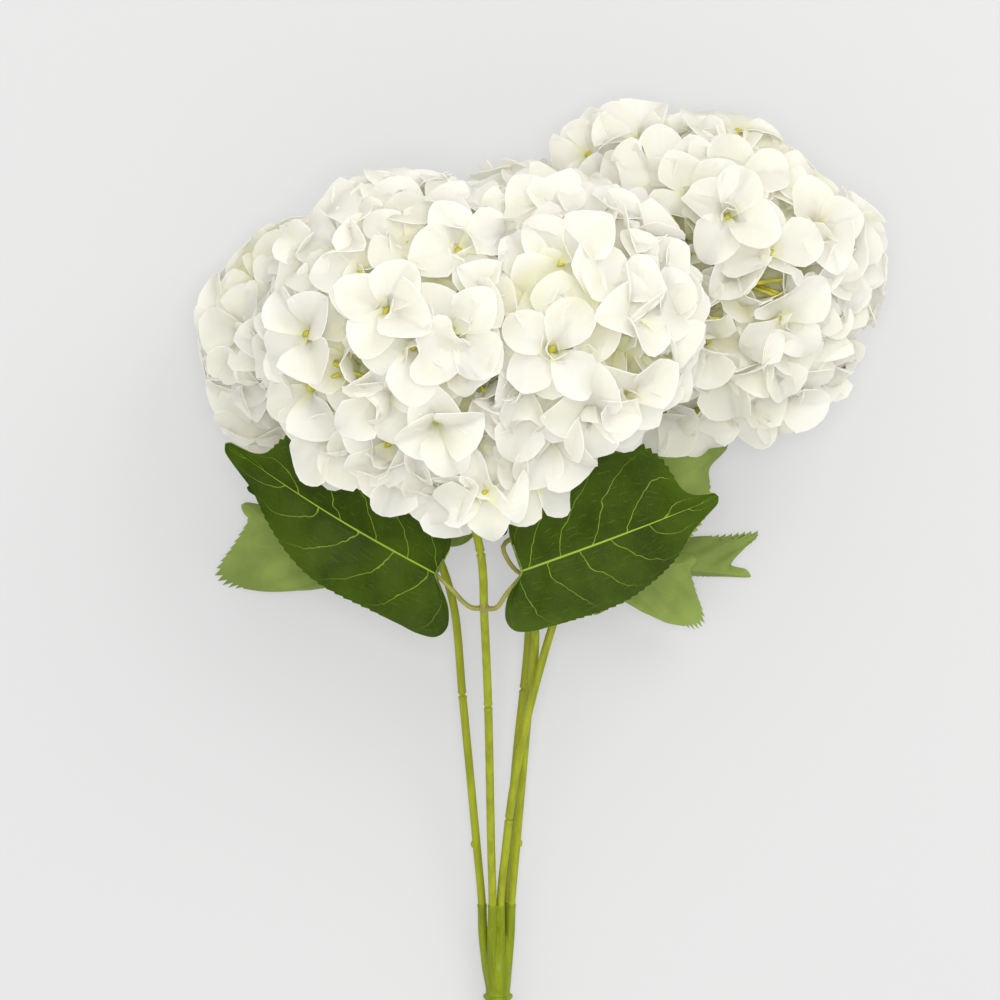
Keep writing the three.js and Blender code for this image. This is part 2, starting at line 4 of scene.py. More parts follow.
import bpy
from bpy.props import FloatProperty, FloatVectorProperty, IntProperty, PointerProperty
from mathutils import Matrix, Quaternion, Vector, noise


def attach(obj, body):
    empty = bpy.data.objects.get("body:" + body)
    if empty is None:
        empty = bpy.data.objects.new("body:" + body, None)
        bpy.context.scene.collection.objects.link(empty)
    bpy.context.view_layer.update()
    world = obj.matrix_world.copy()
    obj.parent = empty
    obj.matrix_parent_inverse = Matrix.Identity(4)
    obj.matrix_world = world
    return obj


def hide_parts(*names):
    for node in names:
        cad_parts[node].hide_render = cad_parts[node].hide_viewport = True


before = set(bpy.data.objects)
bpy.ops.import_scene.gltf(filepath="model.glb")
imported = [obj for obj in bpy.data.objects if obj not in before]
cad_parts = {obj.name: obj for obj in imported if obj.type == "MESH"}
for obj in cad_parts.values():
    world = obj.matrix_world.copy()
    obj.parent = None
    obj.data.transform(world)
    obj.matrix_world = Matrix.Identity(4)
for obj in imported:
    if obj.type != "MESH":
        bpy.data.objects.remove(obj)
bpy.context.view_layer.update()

bl_info = {
    "name": "White Hydrangea Bunch",
    "version": (1, 0, 0),
    "blender": (4, 5, 0),
    "location": "3D Viewport > Sidebar > Hydrangeas",
    "description": "Models a bunch of artificial hydrangeas that lies on a pale surface",
    "category": "Object",
}

MM = 0.001
UP = Vector((0, 0, 1))
GOLDEN_ANGLE = math.pi * (3 - math.sqrt(5))

# The camera stands over this point, in millimetres. A pixel of its picture is a 4000th of the distance, or
# about half a millimetre on the bunch.
CAMERA_OVER = (-15.3, -102.2)
PIXEL_SHARE = 1 / 4000
PIXEL_MM = 0.5
PICTURE_MIDDLE = 500

# Each bloom, in millimetres unless they are pixels:
#   middle, radius  its ball
#   stem            the route of its stem from the joint to its underside
#   seams, nubs     where along Y the stem's sleeve has a seam, or a small nub to the left (-1) or right (1)
#   flat            sides that are flatter than a ball: the way out of its middle and the distance
#   shown           florets whose middles show: pixel of that middle, lean to the right and upwards, spin in
#                   degrees and form
#   hanging         florets that hang out of it: middle, the way that they look, spin and form
#   gaps            gaps between the florets, where the sprays show: pixel and radius in pixels
#   branches        branches that show there: the pixels that they run through
BLOOMS = {
    "left_back": {
        "middle": (-101, -14, 68), "radius": 70,
        "stem": [(-24, -332, 14.4), (-24.7, -313.3, 19.5), (-27.4, -282.5, 26), (-34.5, -205.7, 41),
            (-39.8, -153.7, 50), (-50.8, -122, 54), (-71.7, -77, 59.3)],
        "seams": [-202.8], "nubs": [(-282, -1)],
        "flat": [((-0.25, 0.97, 0), 50), ((-0.78, 0.62, 0), 54), ((-0.97, -0.2, 0), 59)],
        "shown": [], "hanging": [], "gaps": [], "branches": [],
    },
    "front_left": {
        "middle": (-55, -20, 163), "radius": 77,
        "stem": [(-19.6, -332, 20.8), (-19.2, -312.6, 27), (-19.9, -281.3, 40), (-21.4, -203.6, 83),
            (-23.1, -162.3, 108), (-24.9, -128.5, 128), (-35.3, -89.5, 142.5)],
        "seams": [-207, -128.3], "nubs": [],
        "flat": [((0, 1, 0), 69)],
        "shown": [((456, 253), 0.25, 0.3, 20, "open"), ((386, 313), 0, 0.2, 60, "cupped"),
            ((451, 331), 0.15, 0, 45, "open"), ((413, 346), -0.05, -0.1, 10, "open"),
            ((311, 334), -0.75, 0, 30, "cupped"), ((437, 418), 0.1, -0.45, 20, "funnel"),
            ((384, 396), -0.1, -0.4, 30, "open"), ((334, 430), -0.45, -0.6, 50, "cupped"),
            ((368, 447), -0.25, -0.85, 15, "cupped"), ((402, 458), -0.05, -1, 70, "cupped"),
            ((440, 456), 0.15, -0.9, 35, "cupped"), ((474, 436), 0.45, -0.6, 10, "cupped"),
            ((352, 452), -0.35, -1, 30, "open"), ((388, 440), 0, -0.7, 45, "open")],
        "hanging": [((-23, -98, 196), (0, -0.2, 1), 15, "open"),
            ((-12, -92, 187), (0.35, -0.25, 0.9), 50, "open"),
            ((-38, -94, 184), (-0.5, -0.5, 0.74), 20, "cupped")],
        "gaps": [((353, 370), 13), ((492, 387), 14)],
        "branches": [[(334, 363), (347, 370), (365, 377), (376, 381)], [(347, 370), (338, 375), (330, 378)],
            [(486, 393), (492, 388), (504, 384)]],
    },
    "front_right": {
        "middle": (12, -17, 168), "radius": 68,
        "stem": [(-10.2, -332, 15), (-9.4, -313.3, 19.5), (-6.8, -282.3, 28), (-1, -213.5, 48),
            (2.8, -173.9, 62), (-1, -125, 90), (12, -70, 125)],
        "seams": [-155], "nubs": [(-281, 1)],
        "shown": [((552, 350), 0, 0.1, 50, "open"), ((522, 380), -0.2, -0.15, 10, "open"),
            ((530, 402), -0.1, -0.4, 70, "open"), ((508, 424), -0.35, -0.7, 25, "cupped"),
            ((548, 430), 0, -0.7, 60, "cupped"), ((586, 403), 0.15, -0.5, 5, "cupped"),
            ((622, 388), 0.4, -0.5, 40, "cupped")],
        "hanging": [((2, -92, 184), (0.3, -0.3, 0.85), 60, "open")],
        "gaps": [((492, 387), 14), ((508, 463), 8)],
        "branches": [[(502, 451), (507, 463), (514, 476)]],
        "flat": [],
    },
    "middle_back": {
        "middle": (0, 0, 52), "radius": 67,
        "stem": [(-13.4, -332, 10.8), (-13.5, -313.8, 14.5), (-10.7, -283, 20), (-6.5, -232.1, 31),
            (-0.7, -174.7, 38), (0.5, -112, 44), (0.3, -68, 47.8)],
        "seams": [-200.3], "nubs": [],
        "flat": [], "shown": [], "hanging": [], "gaps": [], "branches": [],
    },
    "right": {
        "middle": (96, 18, 80), "radius": 81,
        "stem": [(-14.9, -332, 18), (-15.1, -312.8, 24.5), (-12.2, -281.3, 39), (-8.6, -251.6, 50),
            (-1.1, -213, 59), (15.9, -153.4, 63), (37, -100, 66), (62.8, -48.5, 68.6)],
        "seams": [-267], "nubs": [],
        "flat": [((0.66, 0.75, 0), 59), ((0.2, 0.98, 0), 67)],
        "shown": [((599, 170), -0.5, 0.3, 25, "open"), ((662, 174), 0, 0.2, 0, "open"),
            ((638, 191), -0.2, 0, 45, "open"), ((689, 198), 0.1, 0.1, 30, "open"),
            ((726, 219), 0.15, 0.25, 60, "cupped"), ((768, 253), 0.2, 0.1, 20, "open"),
            ((781, 316), 0.15, -0.25, 45, "open"), ((701, 408), -0.2, -0.75, 15, "cupped"),
            ((668, 410), -0.4, -0.9, 40, "cupped"), ((738, 396), 0, -0.8, 30, "open"),
            ((772, 388), 0.2, -0.7, 10, "cupped")],
        "hanging": [((31, 71, 86), (-0.4, 0.35, 0.85), 10, "open"),
            ((53, 77, 84), (-0.15, 0.5, 0.85), 50, "cupped")],
        "gaps": [((668, 228), 18), ((770, 284), 19), ((712, 317), 8)],
        "branches": [[(651, 197), (654, 210), (665, 226), (674, 216)], [(665, 226), (670, 237), (680, 229)],
            [(670, 237), (682, 264), (691, 253)], [(702, 316), (721, 319)],
            [(746, 275), (759, 278), (760, 270)], [(753, 283), (764, 282), (782, 280)],
            [(762, 291), (785, 297), (799, 294)], [(775, 292), (786, 296), (785, 303)]],
    },
}

# How a floret's petals stand, in degrees and shares of their length: the slope where they start, its change
# up to the tip, how far they cup across, how much their edges wave and how sharply they are creased.
FORMS = {
    "open": dict(rise=(4, 26), curl=(-50, -5), cup=(-0.1, 0.5), wave=(0.03, 0.12), crease=(0, 0.35)),
    "cupped": dict(rise=(24, 50), curl=(-65, -15), cup=(0, 0.7), wave=(0.05, 0.14), crease=(0, 0.6)),
    "funnel": dict(rise=(46, 66), curl=(-75, -30), cup=(0.1, 0.6), wave=(0.03, 0.1), crease=(0.1, 0.7)),
}
# The limits between which all petals differ, whatever their floret's form.
PETAL_LIMITS = dict(half_width=(0.41, 0.49), point=(0.15, 0.5), phase=(0, 2 * math.pi), twist=(-0.4, 0.4))
PETAL_SIZES = (0.92, 1.06)
PETAL_TURN = 8
PETAL_FOOT = 0.6
PETAL_STEPS = 5
PATTERNS = 7

# How the other florets are spread over a bloom, in metres and shares, and how far the pieces give way.
FORM_ORDER = ["open", "cupped", "open", "cupped", "open"]
FLORET_SIZES = (0.9, 1.06)
SEAT_SCATTER = (-0.004, 0.003)
SEAT_GAP = 0.021
SEAT_OVERHANG = 0.004
FLAT_MARGIN = 0.003
TURN_UP = 0.45
LEAN = 0.38
LOWEST_OUTER = -0.74
LOWEST_INNER = -0.6
SHOWN_RISE = 0.003
PEG_CLEARANCE = 0.004
FOLD_REACH = 1.2
FOLD_ASIDE = 0.85
FOLD_OUT = 0.55
PETAL_GIVE = 0.014
SPRAY_GIVE = 0.006
FLOOR_GIVE = 0.006

# Each bloom's pair of leaves, in millimetres: where along Y it is clipped to the stem, and its leaves. Each
# has a foot, a tip, a way that it faces, a left and a right side as seen from its face with the tip up, which
# have an edge, a width and a fold, and the points that its stalk runs through, where they are given.
LEAF_PAIRS = {
    "front_left": (-156.5, [
        ((-47.5, -139, 112), (-152.5, -74, 108), (-0.12, -0.25, 1), ("slim", 32, 0.3), ("square", 40, 0.45),
         [(-29.5, -156, 111), (-34.3, -152.6, 110.3), (-38.5, -147.8, 109.5)]),
        ((-4.5, -137.5, 127), (94, -100.5, 112), (0.1, -0.05, 1), ("square", 45, 0.2), ("slim", 31.5, 0.3),
         [(-17.5, -156.2, 113.5), (-11, -147.5, 119)]),
    ]),
    "left_back": (-118, [
        ((-67, -146, 46), (-150, -105, 26), (0.1, -0.1, -1), ("slim", 24, 0.2), ("turned", 39.5, 0.12), []),
        ((-62, -118, 72), (-144, -96, 78), (0.2, -0.5, 1), ("broad", 24, 0.24), ("slim", 20, 0.24), []),
    ]),
    "front_right": (-118, [
        ((-14, -106, 86), (-64, -70, 84), (0, 0.3, 1), ("broad", 20, 0.24), ("slim", 18, 0.24), []),
        ((36, -134, 80), (101, -74, 66), (-0.3, 0.4, -1), ("broad", 30, 0.24), ("slim", 26, 0.24),
         [(-13.5, -125, 92), (-11, -133, 92), (-4.6, -139.5, 91), (16, -143, 92)]),
    ]),
    "middle_back": (-122, [
        ((-24, -108, 24), (-86, -84, 10), (0.1, -0.1, -1), ("square", 24, 0.24), ("square", 26, 0.24), []),
        ((36.6, -135, 32), (114.8, -142, 30), (0, 0.15, -1), ("slim", 6, 2), ("raised", 22.5, 0.25), []),
    ]),
    "right": (-153, [
        ((34, -148, 43), (82, -110, 39), (0.2, 0.2, -1), ("slim", 13, 0.24), ("slim", 14, 0.24), []),
        ((28, -148, 55), (86, -133, 44), (-0.1, 0.1, -1), ("turned", 34, 0.15), ("slim", 20, 0.24), []),
    ]),
}

# The edges of a leaf's side: the stretch that has teeth, with their size, and the route from its foot round
# its lobe to its tip, in hundredths of the leaf's length and of the side's width.
LEAF_EDGES = {
    "square": ((0.28, 0.86, 0.8), [(0, 2), (0, 24), (0.5, 47.5), (4, 68), (12, 85), (22, 93), (35, 98),
        (48, 100), (60, 98), (71, 88), (79, 62), (83.5, 24), (88, 13), (94, 8), (98.5, 5), (100, 0)]),
    "broad": ((0.28, 0.86, 0.8), [(0, 2), (-6, 14), (-13.5, 36), (-15, 56), (-8, 76), (10, 90), (30, 97),
        (48, 100), (60, 95), (70, 81), (77.5, 56), (83.5, 20), (88, 13), (94, 10), (98.5, 6), (100, 0)]),
    "slim": ((0.34, 0.84, 0.3), [(0, 2), (-5, 14), (-12, 36), (-15.5, 62), (-13.5, 82), (-6, 92), (3, 95),
        (14, 97.5), (28, 100), (41, 97), (53, 86), (63, 73), (70, 61), (76, 47), (81.5, 34), (87.8, 25),
        (95, 15), (98.5, 9), (100, 0)]),
    "turned": ((0.6, 0.97, 1.7), [(0, 2), (8, 6), (20, 17), (34, 37), (50, 64), (66, 86), (80, 97),
        (90, 100), (95.5, 93), (96.5, 80), (95, 55), (94, 30), (93.5, 12), (97, 7), (100, 0)]),
    "raised": ((0.52, 0.8, 1), [(0, 2), (-6, 14), (-6, 30), (10, 45), (30, 58), (50, 69), (80, 86),
        (103, 100), (100, 82), (95, 64), (90, 42), (86.8, 22), (92, 17), (97, 13), (100, 0)]),
}
LEAF_COLUMNS = 16
EDGE_WIDTH = 0.33
TOOTH_LENGTH = 0.010
TOOTH_DEPTH = 0.0022
RIPPLE = 0.0006
BULGE = 0.004
ARCH = 0.07
ROLL = 2.4

# The sprays, in metres and shares of radii: the hub along the stem's axis, the forks, the pedicels and pegs.
HUB_PROFILE = [(-0.010, 0.75), (-0.008, 1), (0.006, 1), (0.010, 0.7)]
FORKS = 9
FORK_SPREAD = 1.25
FORK_SHARE = 0.42
PEDICEL_PROFILE = (1.3, 1, 1, 1, 1.1, 1.6)
PEDICEL_DROP = 0.010
BRANCH_RISE = 0.004
PEG_RISE = 0.0028

# The joint's profile in millimetres: height over the cut end of its trunk and radius there. The prongs that
# the stems stand in grow out of it at a height and a share of their distance from its axis. Their rims are
# in metres past their end.
JOINT_FOOT = (-16.4, -412, 5)
JOINT_CROTCH = (-16.4, -334, 15.4)
JOINT_PROFILE = [
    (0, 4.2), (0.5, 4.8), (1.2, 5), (20, 5.8), (48, 6.6), (48.8, 6.8), (49.3, 7.7), (50, 7.9), (50.7, 7.7),
    (51.2, 6.5), (52.4, 6.3), (58, 6.9), (63, 7.3), (66, 7.0), (69, 6.0), (73, 4.6), (77, 3.0),
]
JOINT_SEAM = [(-16.6, -359.3, 18.6), (-17.9, -349.9, 20.7), (-18.4, -343.1, 21.6), (-18.8, -333.7, 23.1),
              (-19.1, -326.4, 25.1)]
JOINT_SEAM_RADIUS = 0.0006
PRONG_ROOT = (52, 0.3)
PRONG_END = -315
PRONG_RADII = (3.3, 3.6, 3.5, 2.9, 2.6, 2.45, 2.4, 2.4)
PRONG_RIM = [(0.0005, 0.00265), (0.0014, 0.0026), (0.0018, 0.0022)]
LOWEST_POINT = 0.0001

# The stems' necks at their seams, the clips and lumps in millimetres and shares, and the leaf stalks.
STEM_STEPS = 420
SEAM_REACH = 1.6
NECK = 0.42
NECK_RIM = 0.09
CLIP_PROFILE = [(-1.7, 2.2), (-1.3, 2.6), (-0.4, 2.75), (0.4, 2.75), (1.3, 2.6), (1.7, 2.2)]
LUMP_PROFILE = [(-1, 0.1), (-0.8, 0.6), (-0.3, 0.95), (0.3, 0.95), (0.8, 0.6), (1, 0.1)]
STALK_STEPS = 40
STALK_TAPER = (1.1, 0.62)
RIB_DROP = -0.0016


# ---- What a user would change ----


def count_setting(name, description, default, least):
    return IntProperty(name=name, description=description, default=default, min=least)


def length_setting(name, description, default):
    return FloatProperty(name=name, description=description, default=default, unit="LENGTH")


def power_setting(name, description, default):
    return FloatProperty(name=name, description=description, default=default, subtype="POWER")


def colour_setting(name, description, default):
    return FloatVectorProperty(name=name, description=description, default=default, size=3, subtype="COLOR")


class BloomSettings(bpy.types.PropertyGroup):
    florets: count_setting("Florets", "Florets on a bloom of the reference radius", 88, 10)
    inner_florets: count_setting("Inner florets", "Florets deeper inside it", 48, 0)
    inner_depth: length_setting("Inner depth", "How deep the inner florets sit", 0.024)
    reference_radius: length_setting("Reference radius", "Bloom that has those numbers", 0.077)
    petal_length: length_setting("Petal length", "From the floret's middle to the tip", 0.0275)
    petal_thickness: length_setting("Petal thickness", "Thickness of the fabric", 0.0004)
    seat_depth: length_setting("Seat depth", "How deep the florets' middles sit in the bloom", 0.015)
    petal_colour: colour_setting("Petal colour", "Outer petals", (0.98, 0.972, 0.935))
    # The rim colour is a painted highlight along the petals' outer edges.
    rim_highlight_colour: colour_setting("Rim colour", "Cut edges of the petals", (0.985, 0.98, 0.95))
    # The deep colour is painted shade for the petals inside the bloom and towards each floret's middle.
    painted_shade_colour: colour_setting("Deep colour", "Petals inside the bloom", (0.92, 0.92, 0.61))


class SpraySettings(bpy.types.PropertyGroup):
    hub_radius: length_setting("Hub radius", "Radius of the branching hub", 0.0034)
    branch_radius: length_setting("Branch radius", "Radius of the main branches", 0.0013)
    pedicel_radius: length_setting("Pedicel radius", "Radius of the stalk of a floret", 0.0008)
    peg_width: length_setting("Peg width", "Peg in the middle of a floret", 0.0062)
    colour: colour_setting("Colour", "Moulded plastic of the sprays", (0.50, 0.46, 0.055))


class StemSettings(bpy.types.PropertyGroup):
    radius: length_setting("Radius", "Radius of a stem", 0.0021)
    stalk_radius: length_setting("Stalk radius", "Radius of a leaf stalk", 0.0012)
    colour: colour_setting("Colour", "Plastic of the stems", (0.29, 0.325, 0.012))
    joint_colour: colour_setting("Joint colour", "Plastic of the joint", (0.195, 0.245, 0.004))
    stalk_colour: colour_setting("Stalk colour", "Plastic of the leaf stalks", (0.33, 0.32, 0.075))


class LeafSettings(bpy.types.PropertyGroup):
    thickness: length_setting("Thickness", "Thickness of a leaf", 0.0006)
    teeth: count_setting("Teeth", "Teeth along a whole edge", 40, 4)
    veins: count_setting("Veins", "Side veins in each half", 7, 3)
    top_colour: colour_setting("Upper face", "Colour of the upper face", (0.033, 0.060, 0.002))
    vein_colour: colour_setting("Veins", "Colour of the veins", (0.27, 0.42, 0.04))
    under_colour: colour_setting("Underside", "Colour of the underside", (0.20, 0.27, 0.062))


class StageSettings(bpy.types.PropertyGroup):
    camera_height: length_setting("Camera height", "Height over the surface", 2.110)
    floor_colour: colour_setting("Floor colour", "Colour of the surface", (0.35, 0.35, 0.35))
    floor_glow: FloatProperty(
        name="Floor glow", description="Light that the translucent surface gives from below", default=0.345)
    sky: FloatProperty(name="Sky", description="Strength of the even light from all sides", default=0.88)
    key: power_setting("Key light", "Power of the large light", 13.0)
    front: power_setting("Front light", "Power of the light over the camera", 18.0)


# ---- Small helpers ----


def mm(point):
    return Vector(point) * MM


def blend(low, high, share):
    return low + (high - low) * share


def smooth(share):
    share = min(1.0, max(0.0, share))
    return share * share * (3 - 2 * share)


def golden_way(number, height):
    """A way out of a ball on the spiral that spreads points evenly, at a height from 1 down to -1."""
    ring, angle = math.sqrt(1 - height * height), number * GOLDEN_ANGLE
    return Vector((ring * math.cos(angle), ring * math.sin(angle), height))


def select_only(*objects):
    bpy.ops.object.select_all(action="DESELECT")
    for piece in objects:
        piece.select_set(True)
    bpy.context.view_layer.objects.active = objects[0]


def join(objects, name):
    select_only(*objects)
    if len(objects) > 1:
        bpy.ops.object.join()
    piece = bpy.context.object
    piece.name = piece.data.name = name
    bpy.ops.object.transform_apply(location=True, rotation=True, scale=True)
    return piece


def merge_doubles(piece, distance, turn_out=False):
    """Merges the piece's corners that meet, and can turn its faces outwards."""
    select_only(piece)
    bpy.ops.object.mode_set(mode="EDIT")
    bpy.ops.mesh.select_all(action="SELECT")
    bpy.ops.mesh.remove_doubles(threshold=distance)
    if turn_out:
        bpy.ops.mesh.normals_make_consistent(inside=False)
    bpy.ops.object.mode_set(mode="OBJECT")


def apply_modifier(piece, kind, **values):
    select_only(piece)
    modifier = piece.modifiers.new(kind.title(), kind)
    for key, value in values.items():
        setattr(modifier, key, value)
    bpy.ops.object.modifier_apply(modifier=modifier.name)


def add_object(data, name):
    piece = bpy.data.objects.new(name, data)
    bpy.context.scene.collection.objects.link(piece)
    return piece


def place_piece(piece, degrees, slot, node, *materials):
    """Shades the piece smooth up to an angle, gives it its finish and has it stand for its CAD node."""
    select_only(piece)
    bpy.ops.object.shade_smooth_by_angle(angle=math.radians(degrees))
    for material in materials:
        piece.data.materials.append(material)
    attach(piece, "root")
    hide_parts(node)


def curve_points(points, count, fine=40):
    """Points at even steps of arc length on a centripetal Catmull-Rom curve through the given ones."""
    ends = [points[0] * 2 - points[1], *points, points[-1] * 2 - points[-2]]
    dense = []
    for a, b, c, d in zip(ends, ends[1:], ends[2:], ends[3:]):
        t1 = (b - a).length ** 0.5
        t2 = t1 + (c - b).length ** 0.5
        t3 = t2 + (d - c).length ** 0.5
        for i in range(fine):
            t = blend(t1, t2, i / fine)
            p, q, r = a.lerp(b, t / t1), b.lerp(c, (t - t1) / (t2 - t1)), c.lerp(d, (t - t2) / (t3 - t2))
            low, high = p.lerp(q, t / t2), q.lerp(r, (t - t1) / (t3 - t1))
            dense.append(low.lerp(high, (t - t1) / (t2 - t1)))
    dense.append(points[-1].copy())
    reach = [0.0]
    for a, b in zip(dense, dense[1:]):
        reach.append(reach[-1] + (b - a).length)
    found, j = [], 0
    for i in range(count):
        target = reach[-1] * i / (count - 1)
        while j < len(dense) - 2 and reach[j + 1] < target:
            j += 1
        span = max(1e-12, reach[j + 1] - reach[j])
        found.append(dense[j].lerp(dense[j + 1], (target - reach[j]) / span))
    return found


def tubes(name, routes, sides):
    """One mesh of closed round tubes. Each route is a list of points with a radius each."""
    curve = bpy.data.curves.new(name, "CURVE")
    curve.dimensions = "3D"
    curve.fill_mode = "FULL"
    curve.bevel_depth = 1.0
    curve.bevel_resolution = sides // 2 - 2
    curve.use_fill_caps = True
    for points in routes:
        spline = curve.splines.new("POLY")
        spline.points.add(len(points) - 1)
        for corner, (place, radius) in zip(spline.points, points):
            corner.co = (*place, 1)
            corner.radius = radius
    select_only(add_object(curve, name))
    bpy.ops.object.convert(target="MESH")
    piece = bpy.context.object
    merge_doubles(piece, 1e-7, turn_out=True)
    return piece


# ---- Materials ----


class Value:
    """A number in a material's nodes. Arithmetic on it adds the node that does the same."""

    def __init__(self, sheet, socket):
        self.sheet = sheet
        self.socket = socket

    def __add__(self, other):
        return self.sheet.math("ADD", self, other)

    def __sub__(self, other):
        return self.sheet.math("SUBTRACT", self, other)

    def __rsub__(self, other):
        return self.sheet.math("SUBTRACT", other, self)

    def __mul__(self, other):
        return self.sheet.math("MULTIPLY", self, other)

    def __truediv__(self, other):
        return self.sheet.math("DIVIDE", self, other)

    def __abs__(self):
        return self.sheet.math("ABSOLUTE", self)


class NodeSheet:
    """A material's nodes, added one after the other."""

    def __init__(self, name):
        self.material = bpy.data.materials.new(name)
        self.material.use_nodes = True
        self.tree = self.material.node_tree
        self.shader = self.tree.nodes["Principled BSDF"]

    def node(self, kind, inputs=(), **values):
        made = self.tree.nodes.new(kind)
        for key, value in values.items():
            setattr(made, key, value)
        for key, value in dict(inputs).items():
            self.put(made.inputs[key], value)
        return made

    def put(self, socket, value):
        value = value.socket if isinstance(value, Value) else value
        if isinstance(value, bpy.types.NodeSocket):
            self.tree.links.new(value, socket)
        else:
            socket.default_value = value

    def math(self, operation, a, b=0.0, clamp=False):
        made = self.node("ShaderNodeMath", {0: a, 1: b}, operation=operation, use_clamp=clamp)
        return Value(self, made.outputs[0])

    def ramp(self, value, low, high, out_low=0.0, out_high=1.0):
        inputs = {"Value": value, "From Min": low, "From Max": high, "To Min": out_low, "To Max": out_high}
        made = self.node("ShaderNodeMapRange", inputs, interpolation_type="SMOOTHSTEP")
        return Value(self, made.outputs[0])

    def mix(self, share, a, b):
        made = self.node("ShaderNodeMix", {0: share}, data_type="RGBA")
        for socket, colour in ((made.inputs[6], a), (made.inputs[7], b)):
            self.put(socket, colour if isinstance(colour, bpy.types.NodeSocket) else (*colour, 1))
        return made.outputs[2]

    def coordinates(self, scale=(1, 1, 1), source="Object"):
        where = self.node("ShaderNodeTexCoord").outputs[source]
        return self.node("ShaderNodeMapping", {"Vector": where, "Scale": scale}).outputs[0]

    def own_map(self):
        """The two shares of the piece's own map."""
        parts = self.node("ShaderNodeSeparateXYZ", {0: self.coordinates(source="UV")})
        return Value(self, parts.outputs[0]), Value(self, parts.outputs[1])

    def noise(self, scale, detail=3.0, stretch=(1, 1, 1)):
        inputs = {"Vector": self.coordinates(stretch), "Scale": scale, "Detail": detail}
        return Value(self, self.node("ShaderNodeTexNoise", inputs).outputs[0])

    def bump(self, height, strength, distance):
        inputs = {"Height": height, "Strength": strength, "Distance": distance}
        return self.node("ShaderNodeBump", inputs).outputs[0]

    def finish(self, let_through=0.0, **inputs):
        """Sets the shader's inputs. A share of the light may come through to the other side of the cloth."""
        for key, value in inputs.items():
            self.put(self.shader.inputs[key.replace("_", " ")], value)
        if let_through:
            inner = self.node("ShaderNodeBsdfTranslucent", {"Color": inputs["Base_Color"]})
            shaders = {0: let_through, 1: self.shader.outputs[0], 2: inner.outputs[0]}
            both = self.node("ShaderNodeMixShader", shaders)
            self.put(self.tree.nodes["Material Output"].inputs["Surface"], both.outputs[0])
        return self.material


def scaled(colour, factor):
    return tuple(c * factor for c in colour)


def petal_material(settings):
    """Thin off-white fabric with painted shade: yellower where it lies deep in the bloom and towards the
    floret's middle.
    """
    sheet = NodeSheet("petal_fabric")
    depth = sheet.node("ShaderNodeAttribute", attribute_name="depth").outputs["Fac"]
    u, v = sheet.own_map()
    # Painted shade: petals deep in the bloom and near the floret's middle are mixed towards the deep colour.
    deep = sheet.ramp(depth, 0.66, 0.95, 1.0, 0.0)
    foot = sheet.ramp(u + v, 0.0, 0.7, 0.9, 0.0)
    cloud = sheet.ramp(sheet.noise(60.0), 0.35, 0.75, 0.0, 0.14)
    share = sheet.math("ADD", sheet.math("MAXIMUM", deep, foot), cloud, clamp=True)
    # Painted highlight: the petal's outer edges are lightened towards the rim colour.
    rim = sheet.ramp(sheet.math("MAXIMUM", u, v), 0.9, 0.99)
    colour = sheet.mix(share, settings.petal_colour, settings.painted_shade_colour)
    ribs = sheet.math("SINE", sheet.math("ARCTAN2", v, u) * 56.0)
    return sheet.finish(
        Base_Color=sheet.mix(rim * 0.7, colour, settings.rim_highlight_colour),
        let_through=0.62,
        Roughness=0.75,
        Specular_IOR_Level=0.15,
        Normal=sheet.bump(ribs * 0.5 + sheet.noise(1600.0, 1.0), 0.2, 0.0002),
    )


def plastic_material(name, colour, roughness, streaks=(260, 12, 260)):
    """Moulded plastic, slightly uneven in tone along the stems, with specks of flash."""
    sheet = NodeSheet(name)
    streak = sheet.noise(1.0, 2.0, streaks)
    speck = sheet.ramp(sheet.noise(700.0, 1.0), 0.68, 0.76)
    light = tuple(min(1.0, c * 1.35 + 0.01) for c in colour)
    tone = sheet.mix(sheet.ramp(streak, 0.3, 0.7), scaled(colour, 0.8), scaled(colour, 1.08))
    return sheet.finish(
        Base_Color=sheet.mix(speck * 0.4, tone, light),
        Roughness=sheet.ramp(streak, 0.3, 0.7, roughness + 0.08, roughness - 0.04),
        Specular_IOR_Level=0.22,
        Normal=sheet.bump(streak, 0.15, 0.0004),
    )


def leaf_veins(sheet, settings):
    """Shares of vein from the leaf's own map, which runs from edge to edge and from foot to tip."""
    across, along = sheet.own_map()
    out = abs(across - 0.5) * 2.0
    left = sheet.math("GREATER_THAN", across, 0.5) * 0.45
    wander = (sheet.noise(70.0) - 0.5) * 0.55
    swept = along - sheet.math("POWER", out, 1.5) * 0.2
    from_vein = abs(sheet.math("FRACT", swept * float(settings.veins) + wander + left) - 0.5)
    side = sheet.ramp(from_vein / (0.020 - out * 0.010), 0.4, 1.1, 1.0, 0.0)
    side = side * sheet.ramp(out, 0.55, 0.98, 1.0, 0.15)
    rib = sheet.ramp(out / (0.021 - along * 0.012), 0.5, 1.1, 1.0, 0.0)
    rungs = abs(sheet.math("FRACT", out * 11.0 + sheet.noise(130.0)) - 0.5)
    rungs = sheet.ramp(rungs, 0.02, 0.08, 1.0, 0.0) * sheet.ramp(sheet.noise(210.0, 1.0), 0.5, 0.66)
    inputs = {"Vector": sheet.coordinates(), "Scale": 520.0}
    cells = sheet.node("ShaderNodeTexVoronoi", inputs, feature="DISTANCE_TO_EDGE").outputs["Distance"]
    return rib, side, sheet.math("MAXIMUM", rungs, sheet.ramp(cells, 0.0, 0.1, 0.2, 0.0))


def leaf_top_material(settings):
    sheet = NodeSheet("leaf_top")
    rib, side, net = leaf_veins(sheet, settings)
    cloud = sheet.ramp(sheet.noise(38.0), 0.3, 0.7)
    tone = sheet.mix(cloud, scaled(settings.top_colour, 0.75), scaled(settings.top_colour, 1.4))
    for share in (net * 0.15, side * 0.65, rib):
        tone = sheet.mix(share, tone, settings.vein_colour)
    relief = net * 0.3 + side * 0.7 + sheet.noise(1500.0, 1.0) * 0.3
    return sheet.finish(
        Base_Color=tone, Roughness=0.5, Specular_IOR_Level=0.07, Normal=sheet.bump(relief, 0.3, 0.0004))


